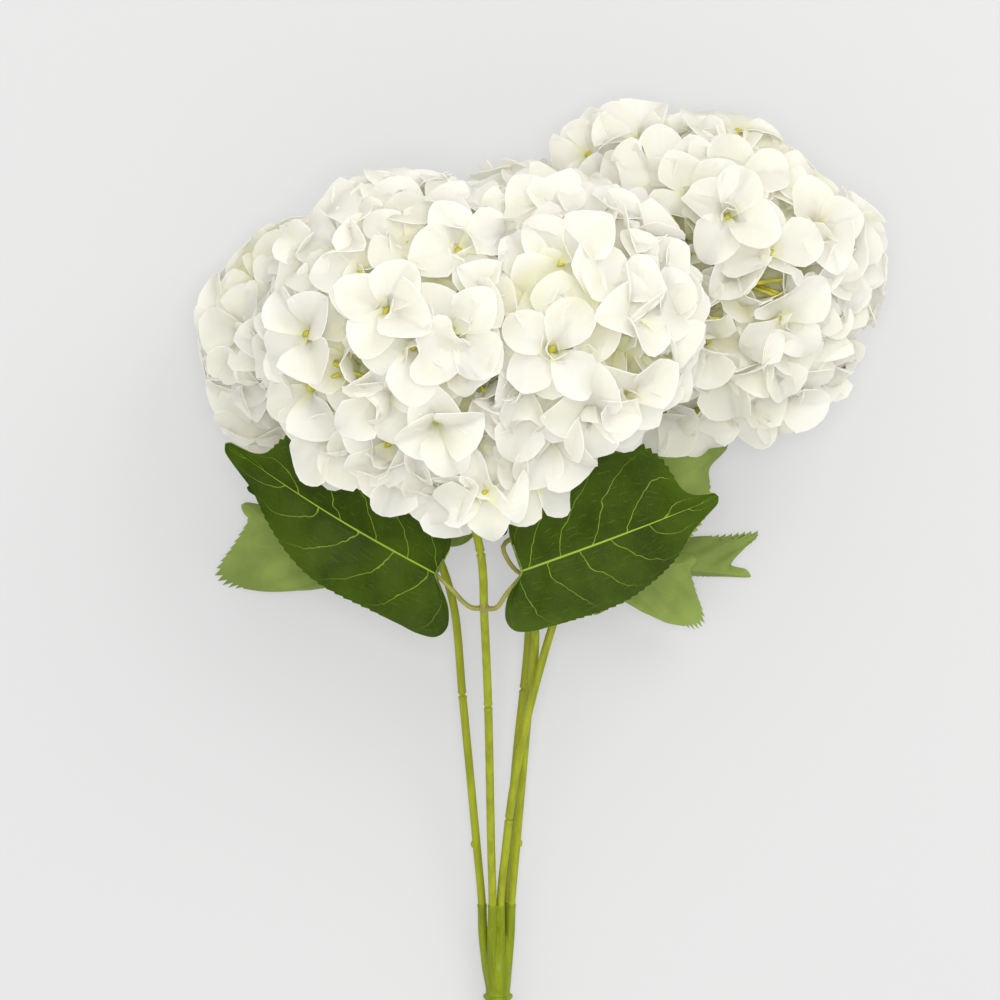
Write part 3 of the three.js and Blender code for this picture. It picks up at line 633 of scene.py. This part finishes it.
def leaf_under_material(settings):
    sheet = NodeSheet("leaf_under")
    rib, side, net = leaf_veins(sheet, settings)
    cloud = sheet.ramp(sheet.noise(45.0), 0.3, 0.7)
    tone = sheet.mix(cloud, scaled(settings.under_colour, 0.85), scaled(settings.under_colour, 1.15))
    veins = sheet.math("MAXIMUM", sheet.math("MAXIMUM", side * 0.5, rib), net * 0.13)
    tone = sheet.mix(veins, tone, scaled(settings.under_colour, 1.25))
    return sheet.finish(
        Base_Color=tone, Roughness=0.7, Specular_IOR_Level=0.12, Normal=sheet.bump(veins, 0.4, 0.0004))


# ---- Florets ----


def petal_point(x, y, form, length):
    """Where a point of a square from -1 to 1 lies on a petal, from its foot at one corner to its tip."""
    round_x, round_y = x * math.sqrt(1 - y * y / 2), y * math.sqrt(1 - x * x / 2)
    along = blend((round_x + round_y) / math.sqrt(2), (x + y) / 2, form["point"])
    across = blend((round_x - round_y) / math.sqrt(2), (x - y) / 2, form["point"])
    share = (along + 1) / 2
    side = across * form["half_width"] * length * blend(PETAL_FOOT, 1, smooth(share * 2))
    rise = form["rise"]
    bend = form["curl"] if abs(form["curl"]) > 0.01 else 0.01
    slope = rise + form["curl"] * share
    out = length * (math.sin(rise + bend * share) - math.sin(rise)) / bend
    height = length * (math.cos(rise) - math.cos(rise + bend * share)) / bend
    ruffle = math.sin(3 * math.atan2(across, along) + form["phase"])
    wave = form["wave"] * ruffle * math.hypot(across, along) ** 3
    lift = length * wave + form["cup"] * side * side / (form["half_width"] * length)
    lift += form["crease"] * abs(side) + form["twist"] * side * share
    return Vector((side, out - math.sin(slope) * lift, height + math.cos(slope) * lift))


def add_petal(form, length, turn, lift):
    bpy.ops.mesh.primitive_grid_add(x_subdivisions=PETAL_STEPS, y_subdivisions=PETAL_STEPS, size=2)
    petal = bpy.context.object
    for vertex in petal.data.vertices:
        vertex.co = petal_point(vertex.co.x, vertex.co.y, form, length)
    petal.rotation_euler = (0, 0, turn)
    petal.location = (0, 0, lift)
    return petal


def add_floret(kind, settings, rng):
    """Four petals, two of them over the other two, as open sheets that get their thickness in the bloom."""
    petals = []
    for i in range(4):
        form = {key: rng.uniform(*limits) for key, limits in {**FORMS[kind], **PETAL_LIMITS}.items()}
        form["rise"], form["curl"] = math.radians(form["rise"]), math.radians(form["curl"])
        turn = math.radians(90 * i + rng.uniform(-PETAL_TURN, PETAL_TURN))
        length = settings.petal_length * rng.uniform(*PETAL_SIZES)
        petals.append(add_petal(form, length, turn, (i % 2) * 2 * settings.petal_thickness))
    return join(petals, "floret")


def floret_matrix(seat, outward, spin, size):
    turn = UP.rotation_difference(outward) @ Quaternion(UP, spin)
    return Matrix.LocRotScale(seat, turn, Vector((size, size, size)))


def random_lean(rng, most):
    angle, size = rng.uniform(0, 2 * math.pi), most * math.sqrt(rng.random())
    return Vector((size * math.cos(angle), size * math.sin(angle), 1))


def press(point, faces, give):
    """Moves a point back that would reach past a face or into the floor, and squeezes what lies behind."""
    for spot, way in faces:
        beyond = way.dot(point - spot)
        if beyond > 0:
            point = point - way * (beyond - give * (1 - math.exp(-beyond / give)))
    if point.z < FLOOR_GIVE:
        point = Vector((point.x, point.y, FLOOR_GIVE * math.exp((point.z - FLOOR_GIVE) / FLOOR_GIVE)))
    return point


class Bloom:
    """A bloom's ball, the faces that flatten it, the gaps in it and its florets.

    A face is a point and the way out of the bloom, a gap is a point and a radius, and a floret is its seat,
    the way that it looks, its spin, size and form.
    """

    def __init__(self, name, scene):
        self.data, self.settings = BLOOMS[name], scene.hydrangea_bloom
        self.eye = Vector((CAMERA_OVER[0] * MM, CAMERA_OVER[1] * MM, scene.hydrangea_stage.camera_height))
        self.middle, self.radius = mm(self.data["middle"]), self.data["radius"] * MM
        self.foot = mm(self.data["stem"][-1])
        self.axis = (self.middle - self.foot).normalized()
        sides = [(Vector(way).normalized(), distance) for way, distance in self.data["flat"]]
        self.flat_faces = [(self.middle + way * distance * MM, way) for way, distance in sides]
        self.faces = self.neighbour_faces() + self.flat_faces
        self.gaps = [(self.at_pixel(pixel, 0), width * PIXEL_MM * MM) for pixel, width in self.data["gaps"]]
        shown = self.shown_florets()
        self.pegs = [(seat, PEG_CLEARANCE) for seat, *_ in shown]
        self.florets = shown + self.other_florets(random.Random(f"florets of {name}"))

    def neighbour_faces(self):
        """The faces where it meets the blooms that reach into it."""
        faces = []
        for other in BLOOMS.values():
            way = mm(other["middle"]) - self.middle
            gap, its = way.length, other["radius"] * MM
            if other is self.data or gap > self.radius + its:
                continue
            reach = (gap**2 + self.radius**2 - its**2) / (2 * gap)
            faces.append((self.middle + way.normalized() * reach, way.normalized()))
        return faces

    def at_pixel(self, pixel, depth):
        """The point of the ball, at that depth under its surface, that the camera sees at a pixel."""
        right, up = (pixel[0] - PICTURE_MIDDLE) * PIXEL_SHARE, (PICTURE_MIDDLE - pixel[1]) * PIXEL_SHARE
        ray = Vector((right, up, -1))
        ray.normalize()
        to_middle = self.middle - self.eye
        nearest = to_middle.dot(ray)
        half = max(0.0, (self.radius - depth) ** 2 - (to_middle.length_squared - nearest**2))
        return self.eye + ray * (nearest - math.sqrt(half))

    def shown_florets(self):
        found = []
        for pixel, right, up, spin, form in self.data["shown"]:
            seat = self.at_pixel(pixel, self.settings.seat_depth - SHOWN_RISE)
            found.append((seat, Vector((right, up, 1)).normalized(), math.radians(spin), 1.0, form))
        for place, way, spin, form in self.data["hanging"]:
            found.append((mm(place), Vector(way).normalized(), math.radians(spin), 1.0, form))
        return found

    def other_florets(self, rng):
        """The outer florets in a mixed order, those deeper inside, and one under each gap."""
        settings = self.settings
        share = (self.radius / settings.reference_radius) ** 2
        taken = [seat for seat, _ in self.pegs]
        outer, inner = round(settings.florets * share), round(settings.inner_florets * share)
        found = self.spread(outer, settings.seat_depth, LOWEST_OUTER, rng, taken, self.gaps)
        rng.shuffle(found)
        found += self.spread(inner, settings.inner_depth, LOWEST_INNER, rng, [], [])
        for spot, _ in self.gaps:
            out = (spot - self.middle).normalized()
            found.append((spot - out * settings.inner_depth, out, rng.uniform(0, math.pi), 1.0, "open"))
        return found

    def spread(self, count, depth, lowest, rng, taken, gaps):
        """Florets spread by the golden angle, away from the seats that are taken and from the gaps."""
        turn = UP.rotation_difference(self.axis)
        found = []
        for i in range(count):
            outward = turn @ golden_way(i, 1 - (1 - lowest) * (i + 0.5) / count)
            seat = self.middle + outward * (self.radius - depth + rng.uniform(*SEAT_SCATTER))
            facing = (outward + UP * TURN_UP * smooth((outward.z + 0.5) / 0.6)).normalized()
            lean = UP.rotation_difference(facing) @ random_lean(rng, LEAN)
            spin, size = rng.uniform(0, 2 * math.pi), rng.uniform(*FLORET_SIZES)
            if self.is_free(seat, depth, taken, gaps):
                found.append((seat, lean.normalized(), spin, size, FORM_ORDER[i % len(FORM_ORDER)]))
        return found

    def is_free(self, seat, depth, taken, gaps):
        return not (
            seat.z < FLOOR_GIVE
            or any(way.dot(seat - spot) > SEAT_OVERHANG for spot, way in self.faces)
            or any(way.dot(seat - spot) > -FLAT_MARGIN for spot, way in self.flat_faces)
            or any((seat - other).length < SEAT_GAP for other in taken)
            or any((seat - spot).length < depth + width for spot, width in gaps)
        )

    def fold(self, point, seat):
        """Folds a petal's point up where it would close a gap or cover a peg that shows."""
        for spot, radius in self.gaps + self.pegs:
            if (spot - seat).length < MM:
                continue
            out = (spot - self.middle).normalized()
            side = seat - spot
            side -= out * side.dot(out)
            away = side.length
            if away > radius + self.settings.petal_length * FOLD_REACH:
                continue
            side /= away
            offset = point - spot
            beyond = radius - offset.dot(side)
            across = (offset - side * offset.dot(side) - out * offset.dot(out)).length
            if beyond > 0:
                share = smooth(1.6 - across / (radius * 1.25))
                point = point + (side * FOLD_ASIDE + out * FOLD_OUT) * beyond * share
        return point


class Drape:
    """How far the petals laid so far reach out from a bloom's middle, in cells of about 3 mm."""

    CELLS = 27
    LAYER = 0.0008
    MOST_LIFT = 0.008
    STEEPEST = 0.3

    def __init__(self, bloom):
        self.middle = bloom.middle
        self.petal_length = bloom.settings.petal_length
        self.reach = {}

    def cell(self, point):
        return tuple(round(c * self.CELLS) for c in (point - self.middle).normalized())

    def need(self, point, seat):
        """How far a petal's point must rise over what lies there. Near the peg and deep inside it stays."""
        low = self.reach.get(self.cell(point), 0) + self.LAYER - (point - self.middle).length
        if low > self.MOST_LIFT:
            return 0.0
        return max(0.0, low) * smooth((point - seat).length / self.petal_length * 2.2)

    def lay(self, points, seat):
        """Lifts a petal's points as softly as the cloth would bend, and notes how far it reaches now."""
        needs = [self.need(point, seat) for point in points]
        laid = []
        for p in points:
            lift = max(0.0, max(need - self.STEEPEST * (p - q).length for q, need in zip(points, needs)))
            free = smooth((p - seat).length / self.petal_length * 3)
            laid.append(p + (p - self.middle).normalized() * lift * free)
        width = PETAL_STEPS + 1
        for row in range(2 * PETAL_STEPS + 1):
            for column in range(2 * PETAL_STEPS + 1):
                low = laid[row // 2 * width + column // 2]
                high = laid[(row + 1) // 2 * width + (column + 1) // 2]
                point = (low + high) / 2
                cell = self.cell(point)
                self.reach[cell] = max(self.reach.get(cell, 0), (point - self.middle).length)
        return laid


def add_bloom(name, bloom, patterns):
    rng = random.Random(f"patterns of {name}")
    drape = Drape(bloom)
    corners = (PETAL_STEPS + 1) ** 2
    copies = []
    for seat, outward, spin, size, form in reversed(bloom.florets):
        mesh = rng.choice(patterns[form]).data.copy()
        mesh.transform(floret_matrix(seat, outward, spin, size))
        points = [bloom.fold(vertex.co.copy(), seat) for vertex in mesh.vertices]
        for first in range(0, len(points), corners):
            points[first:first + corners] = drape.lay(points[first:first + corners], seat)
        for vertex, point in zip(mesh.vertices, points):
            vertex.co = point
        copies.append(add_object(mesh, "floret_copy"))
    piece = join(copies, f"bloom_florets_{name}")
    depth = piece.data.attributes.new("depth", "FLOAT", "POINT")
    for vertex, value in zip(piece.data.vertices, depth.data):
        value.value = (vertex.co - bloom.middle).length / bloom.radius
        vertex.co = press(vertex.co, bloom.faces, PETAL_GIVE)
    apply_modifier(piece, "SOLIDIFY", thickness=bloom.settings.petal_thickness, offset=0)
    return piece


class HYDRANGEA_OT_add_blooms(bpy.types.Operator):
    """Model the fabric florets of every bloom"""

    bl_idname = "hydrangea.add_blooms"
    bl_label = "Add Blooms"

    def execute(self, context):
        settings = context.scene.hydrangea_bloom
        rng = random.Random("floret patterns")
        patterns = {kind: [add_floret(kind, settings, rng) for _ in range(PATTERNS)] for kind in FORMS}
        material = petal_material(settings)
        for name in BLOOMS:
            piece = add_bloom(name, Bloom(name, context.scene), patterns)
            place_piece(piece, 50, "petals", f"bloom_{name}", material)
        for pattern in sum(patterns.values(), []):
            bpy.data.objects.remove(pattern)
        return {"FINISHED"}


# ---- Sprays ----


def nearest(places, spot):
    return min(places, key=lambda place: (place - spot).length)


def spray_routes(bloom, settings):
    """The hub at the top of the stem, its branches, and a pedicel from a branch to each floret."""
    top, axis = bloom.foot, bloom.axis
    routes = [[(top + axis * at, settings.hub_radius * share) for at, share in HUB_PROFILE]]
    hub_top = routes[0][-1][0]
    turn = UP.rotation_difference(axis)
    forks = []
    for i in range(FORKS):
        way = turn @ golden_way(i, 1 - FORK_SPREAD * (i + 0.5) / FORKS)
        fork = bloom.middle + way * bloom.radius * FORK_SHARE
        route = curve_points([hub_top - axis * 0.004, hub_top.lerp(fork, 0.45) + axis * 0.006, fork], 6)
        routes.append([(p, settings.branch_radius) for p in route])
        forks.append(fork)
    for seat, outward, *_ in bloom.florets:
        fork = nearest(forks, seat - outward * 2 * PEDICEL_DROP)
        route = curve_points([fork, seat - outward * PEDICEL_DROP, seat + outward * 0.0006], 6)
        routes.append([(p, settings.pedicel_radius * share) for p, share in zip(route, PEDICEL_PROFILE)])
    for pixels in bloom.data["branches"]:
        shown = [bloom.at_pixel(pixel, bloom.settings.seat_depth - BRANCH_RISE) for pixel in pixels]
        route = curve_points([nearest(forks, shown[0]), *shown], 14)
        routes.append([(p, settings.branch_radius * 0.85) for p in route])
    return routes


def add_pegs(bloom, width):
    """The four-sided pegs that hold the petals, one in the middle of each floret."""
    foot, top, height = width * 0.62, width * 0.36, width * 0.7
    bpy.ops.mesh.primitive_cone_add(vertices=4, radius1=foot, radius2=top, depth=height)
    peg = bpy.context.object
    for vertex in peg.data.vertices:
        vertex.co.y *= 0.68
    bpy.ops.object.mode_set(mode="EDIT")
    bpy.ops.mesh.bevel(offset=width * 0.08, segments=1)
    bpy.ops.object.mode_set(mode="OBJECT")
    copies = []
    for seat, outward, spin, size, _ in bloom.florets:
        copy = add_object(peg.data.copy(), "peg_copy")
        copy.matrix_world = floret_matrix(seat + outward * PEG_RISE, outward, spin, size)
        copies.append(copy)
    bpy.data.objects.remove(peg)
    return join(copies, "pegs")


class HYDRANGEA_OT_add_sprays(bpy.types.Operator):
    """Model the moulded sprays that carry the florets"""

    bl_idname = "hydrangea.add_sprays"
    bl_label = "Add Sprays"

    def execute(self, context):
        settings = context.scene.hydrangea_spray
        material = plastic_material("spray_plastic", settings.colour, 0.45, (200, 200, 200))
        for name in BLOOMS:
            bloom = Bloom(name, context.scene)
            branches = tubes("branches", spray_routes(bloom, settings), sides=6)
            piece = join([branches, add_pegs(bloom, settings.peg_width)], f"spray_branches_{name}")
            for vertex in piece.data.vertices:
                vertex.co = press(vertex.co, bloom.faces, SPRAY_GIVE)
            place_piece(piece, 45, "sprays", f"spray_{name}", material)
        return {"FINISHED"}


# ---- Stems, joint and leaf stalks ----


def stem_route(name):
    return curve_points([mm(p) for p in BLOOMS[name]["stem"]], STEM_STEPS)


def stem_at(name, y):
    """The point of a stem's axis at a place along Y and the way that it runs there."""
    points = stem_route(name)
    i = next(i for i, point in enumerate(points) if point.y >= y * MM or i == len(points) - 2)
    return points[i], (points[i + 1] - points[i - 1]).normalized()


def sleeve_radius(y, seams, radius):
    """The sleeve's radius at a place along the bunch: a narrow neck between rounded ends at each seam."""
    for seam in seams:
        off = abs(y - seam * MM) / (SEAM_REACH * MM)
        neck, rim = math.exp(-((off / 0.32) ** 2)), math.exp(-(((off - 0.9) / 0.5) ** 2))
        radius *= 1 - NECK * neck + NECK_RIM * rim
    return radius


def lump(place, size, sides):
    """The route of a small rounded lump with its long way along Y."""
    return [(place + Vector((0, sides * at * MM, 0)), size * share) for at, share in LUMP_PROFILE]


class HYDRANGEA_OT_add_stems(bpy.types.Operator):
    """Model the plastic sleeves of the five stems with their seams"""

    bl_idname = "hydrangea.add_stems"
    bl_label = "Add Stems"

    def execute(self, context):
        settings = context.scene.hydrangea_stem
        material = plastic_material("stem_plastic", settings.colour, 0.34)
        for name, data in BLOOMS.items():
            routes = [[(p, sleeve_radius(p.y, data["seams"], settings.radius)) for p in stem_route(name)]]
            for y, side in data["nubs"]:
                middle, _ = stem_at(name, y)
                routes.append(lump(middle + Vector((side * 1.7 * MM, 0, 0.4 * MM)), 0.0014, 2.0))
            piece = tubes(f"stem_sleeve_{name}", routes, sides=14)
            place_piece(piece, 50, "stems", f"stem_{name}", material)
        return {"FINISHED"}


class HYDRANGEA_OT_add_joint(bpy.types.Operator):
    """Model the moulded joint with its trunk, collar and prongs"""

    bl_idname = "hydrangea.add_joint"
    bl_label = "Add Stem Joint"

    def execute(self, context):
        settings = context.scene.hydrangea_stem
        foot = mm(JOINT_FOOT)
        way = (mm(JOINT_CROTCH) - foot).normalized()
        routes = [[(foot + way * height * MM, radius * MM) for height, radius in JOINT_PROFILE]]
        for name, data in BLOOMS.items():
            start = mm(data["stem"][0])
            end, along = stem_at(name, PRONG_END)
            offset = start - (foot + way * (start - foot).dot(way))
            root = foot + way * PRONG_ROOT[0] * MM + offset * PRONG_ROOT[1]
            prong = zip(curve_points([root, start, end], len(PRONG_RADII)), PRONG_RADII)
            routes.append([(p, r * MM) for p, r in prong] + [(end + along * at, r) for at, r in PRONG_RIM])
        routes.append([(p, JOINT_SEAM_RADIUS) for p in curve_points([mm(p) for p in JOINT_SEAM], 24)])
        piece = tubes("joint_moulding", routes, sides=24)
        apply_modifier(piece, "REMESH", mode="VOXEL", voxel_size=0.0004)
        apply_modifier(piece, "SMOOTH", factor=0.5, iterations=8)
        for vertex in piece.data.vertices:
            vertex.co.z = max(vertex.co.z, LOWEST_POINT)
        material = plastic_material("joint_plastic", settings.joint_colour, 0.4)
        place_piece(piece, 60, "stem_joint", "stem_joint", material)
        return {"FINISHED"}


class HYDRANGEA_OT_add_stalks(bpy.types.Operator):
    """Model the leaf stalks: a clip on the stem, two curved stalks and the ribs under the leaves"""

    bl_idname = "hydrangea.add_stalks"
    bl_label = "Add Leaf Stalks"

    def execute(self, context):
        settings = context.scene.hydrangea_stem
        material = plastic_material("stalk_plastic", settings.stalk_colour, 0.45, (120, 120, 120))
        for name, (clip, leaves) in LEAF_PAIRS.items():
            middle, along = stem_at(name, clip)
            routes = [[(middle + along * at * MM, radius * MM) for at, radius in CLIP_PROFILE]]
            routes.append(lump(middle + along * 0.0025 + Vector((0, 0, 0.0018)), 0.0012, 3.6))
            for leaf in leaves:
                blade = LeafShape(leaf)
                bends = [mm(p) for p in blade.stalk] or [blade.place(-0.1, 0, -0.0026)]
                rib = [blade.place(0.06, 0, RIB_DROP), blade.place(0.3, 0, RIB_DROP + blade.height(0.3, 0))]
                shares = [blend(*STALK_TAPER, i / (STALK_STEPS - 1)) for i in range(STALK_STEPS)]
                stalk = zip(curve_points([middle, *bends, *rib], STALK_STEPS), shares)
                routes.append([(p, settings.stalk_radius * share) for p, share in stalk])
            piece = tubes(f"leaf_stalks_{name}", routes, sides=10)
            place_piece(piece, 45, "leaf_stalks", f"stalks_{name}", material)
        return {"FINISHED"}


# ---- Leaves ----


class LeafShape:
    """A leaf's own frame: u runs from its stalk to its tip, v to its left and w out of its upper face."""

    def __init__(self, leaf):
        foot, tip, face, *self.sides, self.stalk = leaf
        self.foot = mm(foot)
        way = mm(tip) - self.foot
        self.length = way.length
        self.u = way.normalized()
        self.v = Vector(face).cross(self.u).normalized()
        self.w = self.u.cross(self.v)

    def place(self, share, across, height):
        return self.foot + self.u * share * self.length + self.v * across + self.w * height

    def height(self, share, across):
        """The blade arches along its length and folds up from its midrib."""
        arch = ARCH * self.length * math.sin(math.pi * min(1, max(0, share)))
        _, _, fold = self.sides[across < 0]
        return arch + fold * abs(across) - ROLL * across * across


def leaf_edge(name, steps):
    """Points along a leaf's edge, as shares of its length and width, with the size of the tooth at each."""
    (first, last, size), corners = LEAF_EDGES[name]
    corners = [Vector((along / 100, EDGE_WIDTH * (out / 100), 0)) for along, out in corners]
    edge = []
    for i, point in enumerate(curve_points(corners, steps)):
        around = i / (steps - 1)
        tooth = size * smooth((around - first) * 14) * smooth((last - around) * 14) * ((i % 4) / 3 - 0.5)
        edge.append((point.x, point.y / EDGE_WIDTH, tooth))
    return edge


def add_leaf(name, leaf, settings):
    """A grid bent to the leaf's outline: its middle line is the midrib, its sides are the toothed edges."""
    blade = LeafShape(leaf)
    rows = 4 * settings.teeth
    edges = [leaf_edge(edge, rows + 1) for edge, _, _ in blade.sides]
    widths = [width * MM for _, width, _ in blade.sides]
    shift = sum(map(ord, name)) * 0.37
    bpy.ops.mesh.primitive_grid_add(x_subdivisions=LEAF_COLUMNS, y_subdivisions=rows, size=2)
    piece = bpy.context.object
    piece.name = piece.data.name = name
    for vertex in piece.data.vertices:
        row, out, right = round((vertex.co.y + 1) / 2 * rows), abs(vertex.co.x), int(vertex.co.x > 0)
        around = row / rows
        share, width, tooth = edges[right][row]
        rib = max(0.0, (around - 0.16) / 0.84) ** 1.15
        tooth *= out > 0.999
        along = blend(rib, share + TOOTH_LENGTH * tooth, out**1.15)
        across = (-1 if right else 1) * out * (width * widths[right] + TOOTH_DEPTH * tooth)
        ripple = RIPPLE * math.sin(2 * math.pi * around * settings.veins) * math.sin(math.pi * out)
        bulge = noise.noise(Vector((along * 3 + shift, across * 25, 0))) * BULGE * out
        vertex.co = blade.place(along, across, blade.height(along, across) + ripple + bulge)
    merge_doubles(piece, 0.00002)
    return piece


class HYDRANGEA_OT_add_leaves(bpy.types.Operator):
    """Model the ten toothed leaves"""

    bl_idname = "hydrangea.add_leaves"
    bl_label = "Add Leaves"

    def execute(self, context):
        settings = context.scene.hydrangea_leaf
        top, under = leaf_top_material(settings), leaf_under_material(settings)
        for name, (_, leaves) in LEAF_PAIRS.items():
            for number, leaf in enumerate(leaves, 1):
                piece = add_leaf(f"leaf_blade_{name}_{number}", leaf, settings)
                piece.data.materials.append(top)
                piece.data.materials.append(under)
                apply_modifier(piece, "SOLIDIFY", thickness=settings.thickness, offset=-1,
                               use_even_offset=False, material_offset=1, material_offset_rim=1)
                place_piece(piece, 40, "leaves", f"leaf_{name}_{number}")
        return {"FINISHED"}


# ---- Stage ----


def add_light(name, place, size, power, target, colour=(1, 1, 1)):
    bpy.ops.object.light_add(type="AREA", location=place)
    light = bpy.context.object
    light.name = name
    light.data.shape = "DISK"
    light.data.size = size
    light.data.energy = power
    light.data.color = colour
    light.rotation_euler = (Vector(target) - Vector(place)).to_track_quat("-Z", "Y").to_euler()


class HYDRANGEA_OT_add_stage(bpy.types.Operator):
    """Set the pale floor, the soft lights and the camera over the bunch"""

    bl_idname = "hydrangea.add_stage"
    bl_label = "Add Stage"

    def execute(self, context):
        settings = context.scene.hydrangea_stage
        bpy.ops.mesh.primitive_circle_add(vertices=96, radius=6, fill_type="NGON", location=(0, 0, -0.0002))
        floor = bpy.context.object
        floor.name = "floor"
        sheet = NodeSheet("floor_paper")
        floor.data.materials.append(sheet.finish(
            Base_Color=(*settings.floor_colour, 1), Roughness=0.9, Specular_IOR_Level=0.1,
            Emission_Color=(1, 1, 1, 1), Emission_Strength=settings.floor_glow))
        world = bpy.data.worlds.new("studio")
        world.use_nodes = True
        background = world.node_tree.nodes["Background"].inputs
        background["Color"].default_value = (1, 1, 1, 1)
        background["Strength"].default_value = settings.sky
        context.scene.world = world
        x, y, z = CAMERA_OVER[0] * MM, CAMERA_OVER[1] * MM, settings.camera_height
        add_light("key_light", (0.9, 1.0, 1.85), 1.3, settings.key, (-0.01, -0.1, 0.1), (1.0, 0.99, 0.97))
        add_light("front_light", (x, y, z + 0.15), 0.5, settings.front, (x, y, 0))
        bpy.ops.object.camera_add(location=(x, y, z), rotation=(0, 0, 0))
        camera = bpy.context.object
        camera.data.sensor_width = 36
        camera.data.lens = camera.data.sensor_width / (2 * PICTURE_MIDDLE * PIXEL_SHARE)
        context.scene.camera = camera
        context.scene.view_settings.view_transform = "Standard"
        return {"FINISHED"}


class HYDRANGEA_PT_panel(bpy.types.Panel):
    """Lists the settings and the steps that make the bunch"""

    bl_idname = "HYDRANGEA_PT_panel"
    bl_label = "Hydrangea Bunch"
    bl_space_type = "VIEW_3D"
    bl_region_type = "UI"
    bl_category = "Hydrangeas"

    def draw(self, context):
        for group in GROUPS:
            box = self.layout.box()
            settings = getattr(context.scene, group)
            for key in settings.bl_rna.properties.keys():
                if key not in ("rna_type", "name"):
                    box.prop(settings, key)
        for operator in OPERATORS:
            self.layout.operator(operator.bl_idname)


GROUPS = {
    "hydrangea_bloom": BloomSettings,
    "hydrangea_spray": SpraySettings,
    "hydrangea_stem": StemSettings,
    "hydrangea_leaf": LeafSettings,
    "hydrangea_stage": StageSettings,
}
OPERATORS = (
    HYDRANGEA_OT_add_stage,
    HYDRANGEA_OT_add_joint,
    HYDRANGEA_OT_add_stems,
    HYDRANGEA_OT_add_stalks,
    HYDRANGEA_OT_add_leaves,
    HYDRANGEA_OT_add_sprays,
    HYDRANGEA_OT_add_blooms,
)
CLASSES = (*GROUPS.values(), *OPERATORS, HYDRANGEA_PT_panel)


def register():
    for kind in CLASSES:
        bpy.utils.register_class(kind)
    for key, group in GROUPS.items():
        setattr(bpy.types.Scene, key, PointerProperty(type=group))


def unregister():
    for key in GROUPS:
        delattr(bpy.types.Scene, key)
    for kind in reversed(CLASSES):
        bpy.utils.unregister_class(kind)


def main():
    register()
    bpy.ops.hydrangea.add_stage()
    bpy.ops.hydrangea.add_joint()
    bpy.ops.hydrangea.add_stems()
    bpy.ops.hydrangea.add_stalks()
    bpy.ops.hydrangea.add_leaves()
    bpy.ops.hydrangea.add_sprays()
    bpy.ops.hydrangea.add_blooms()


if __name__ == "__main__":
    main()
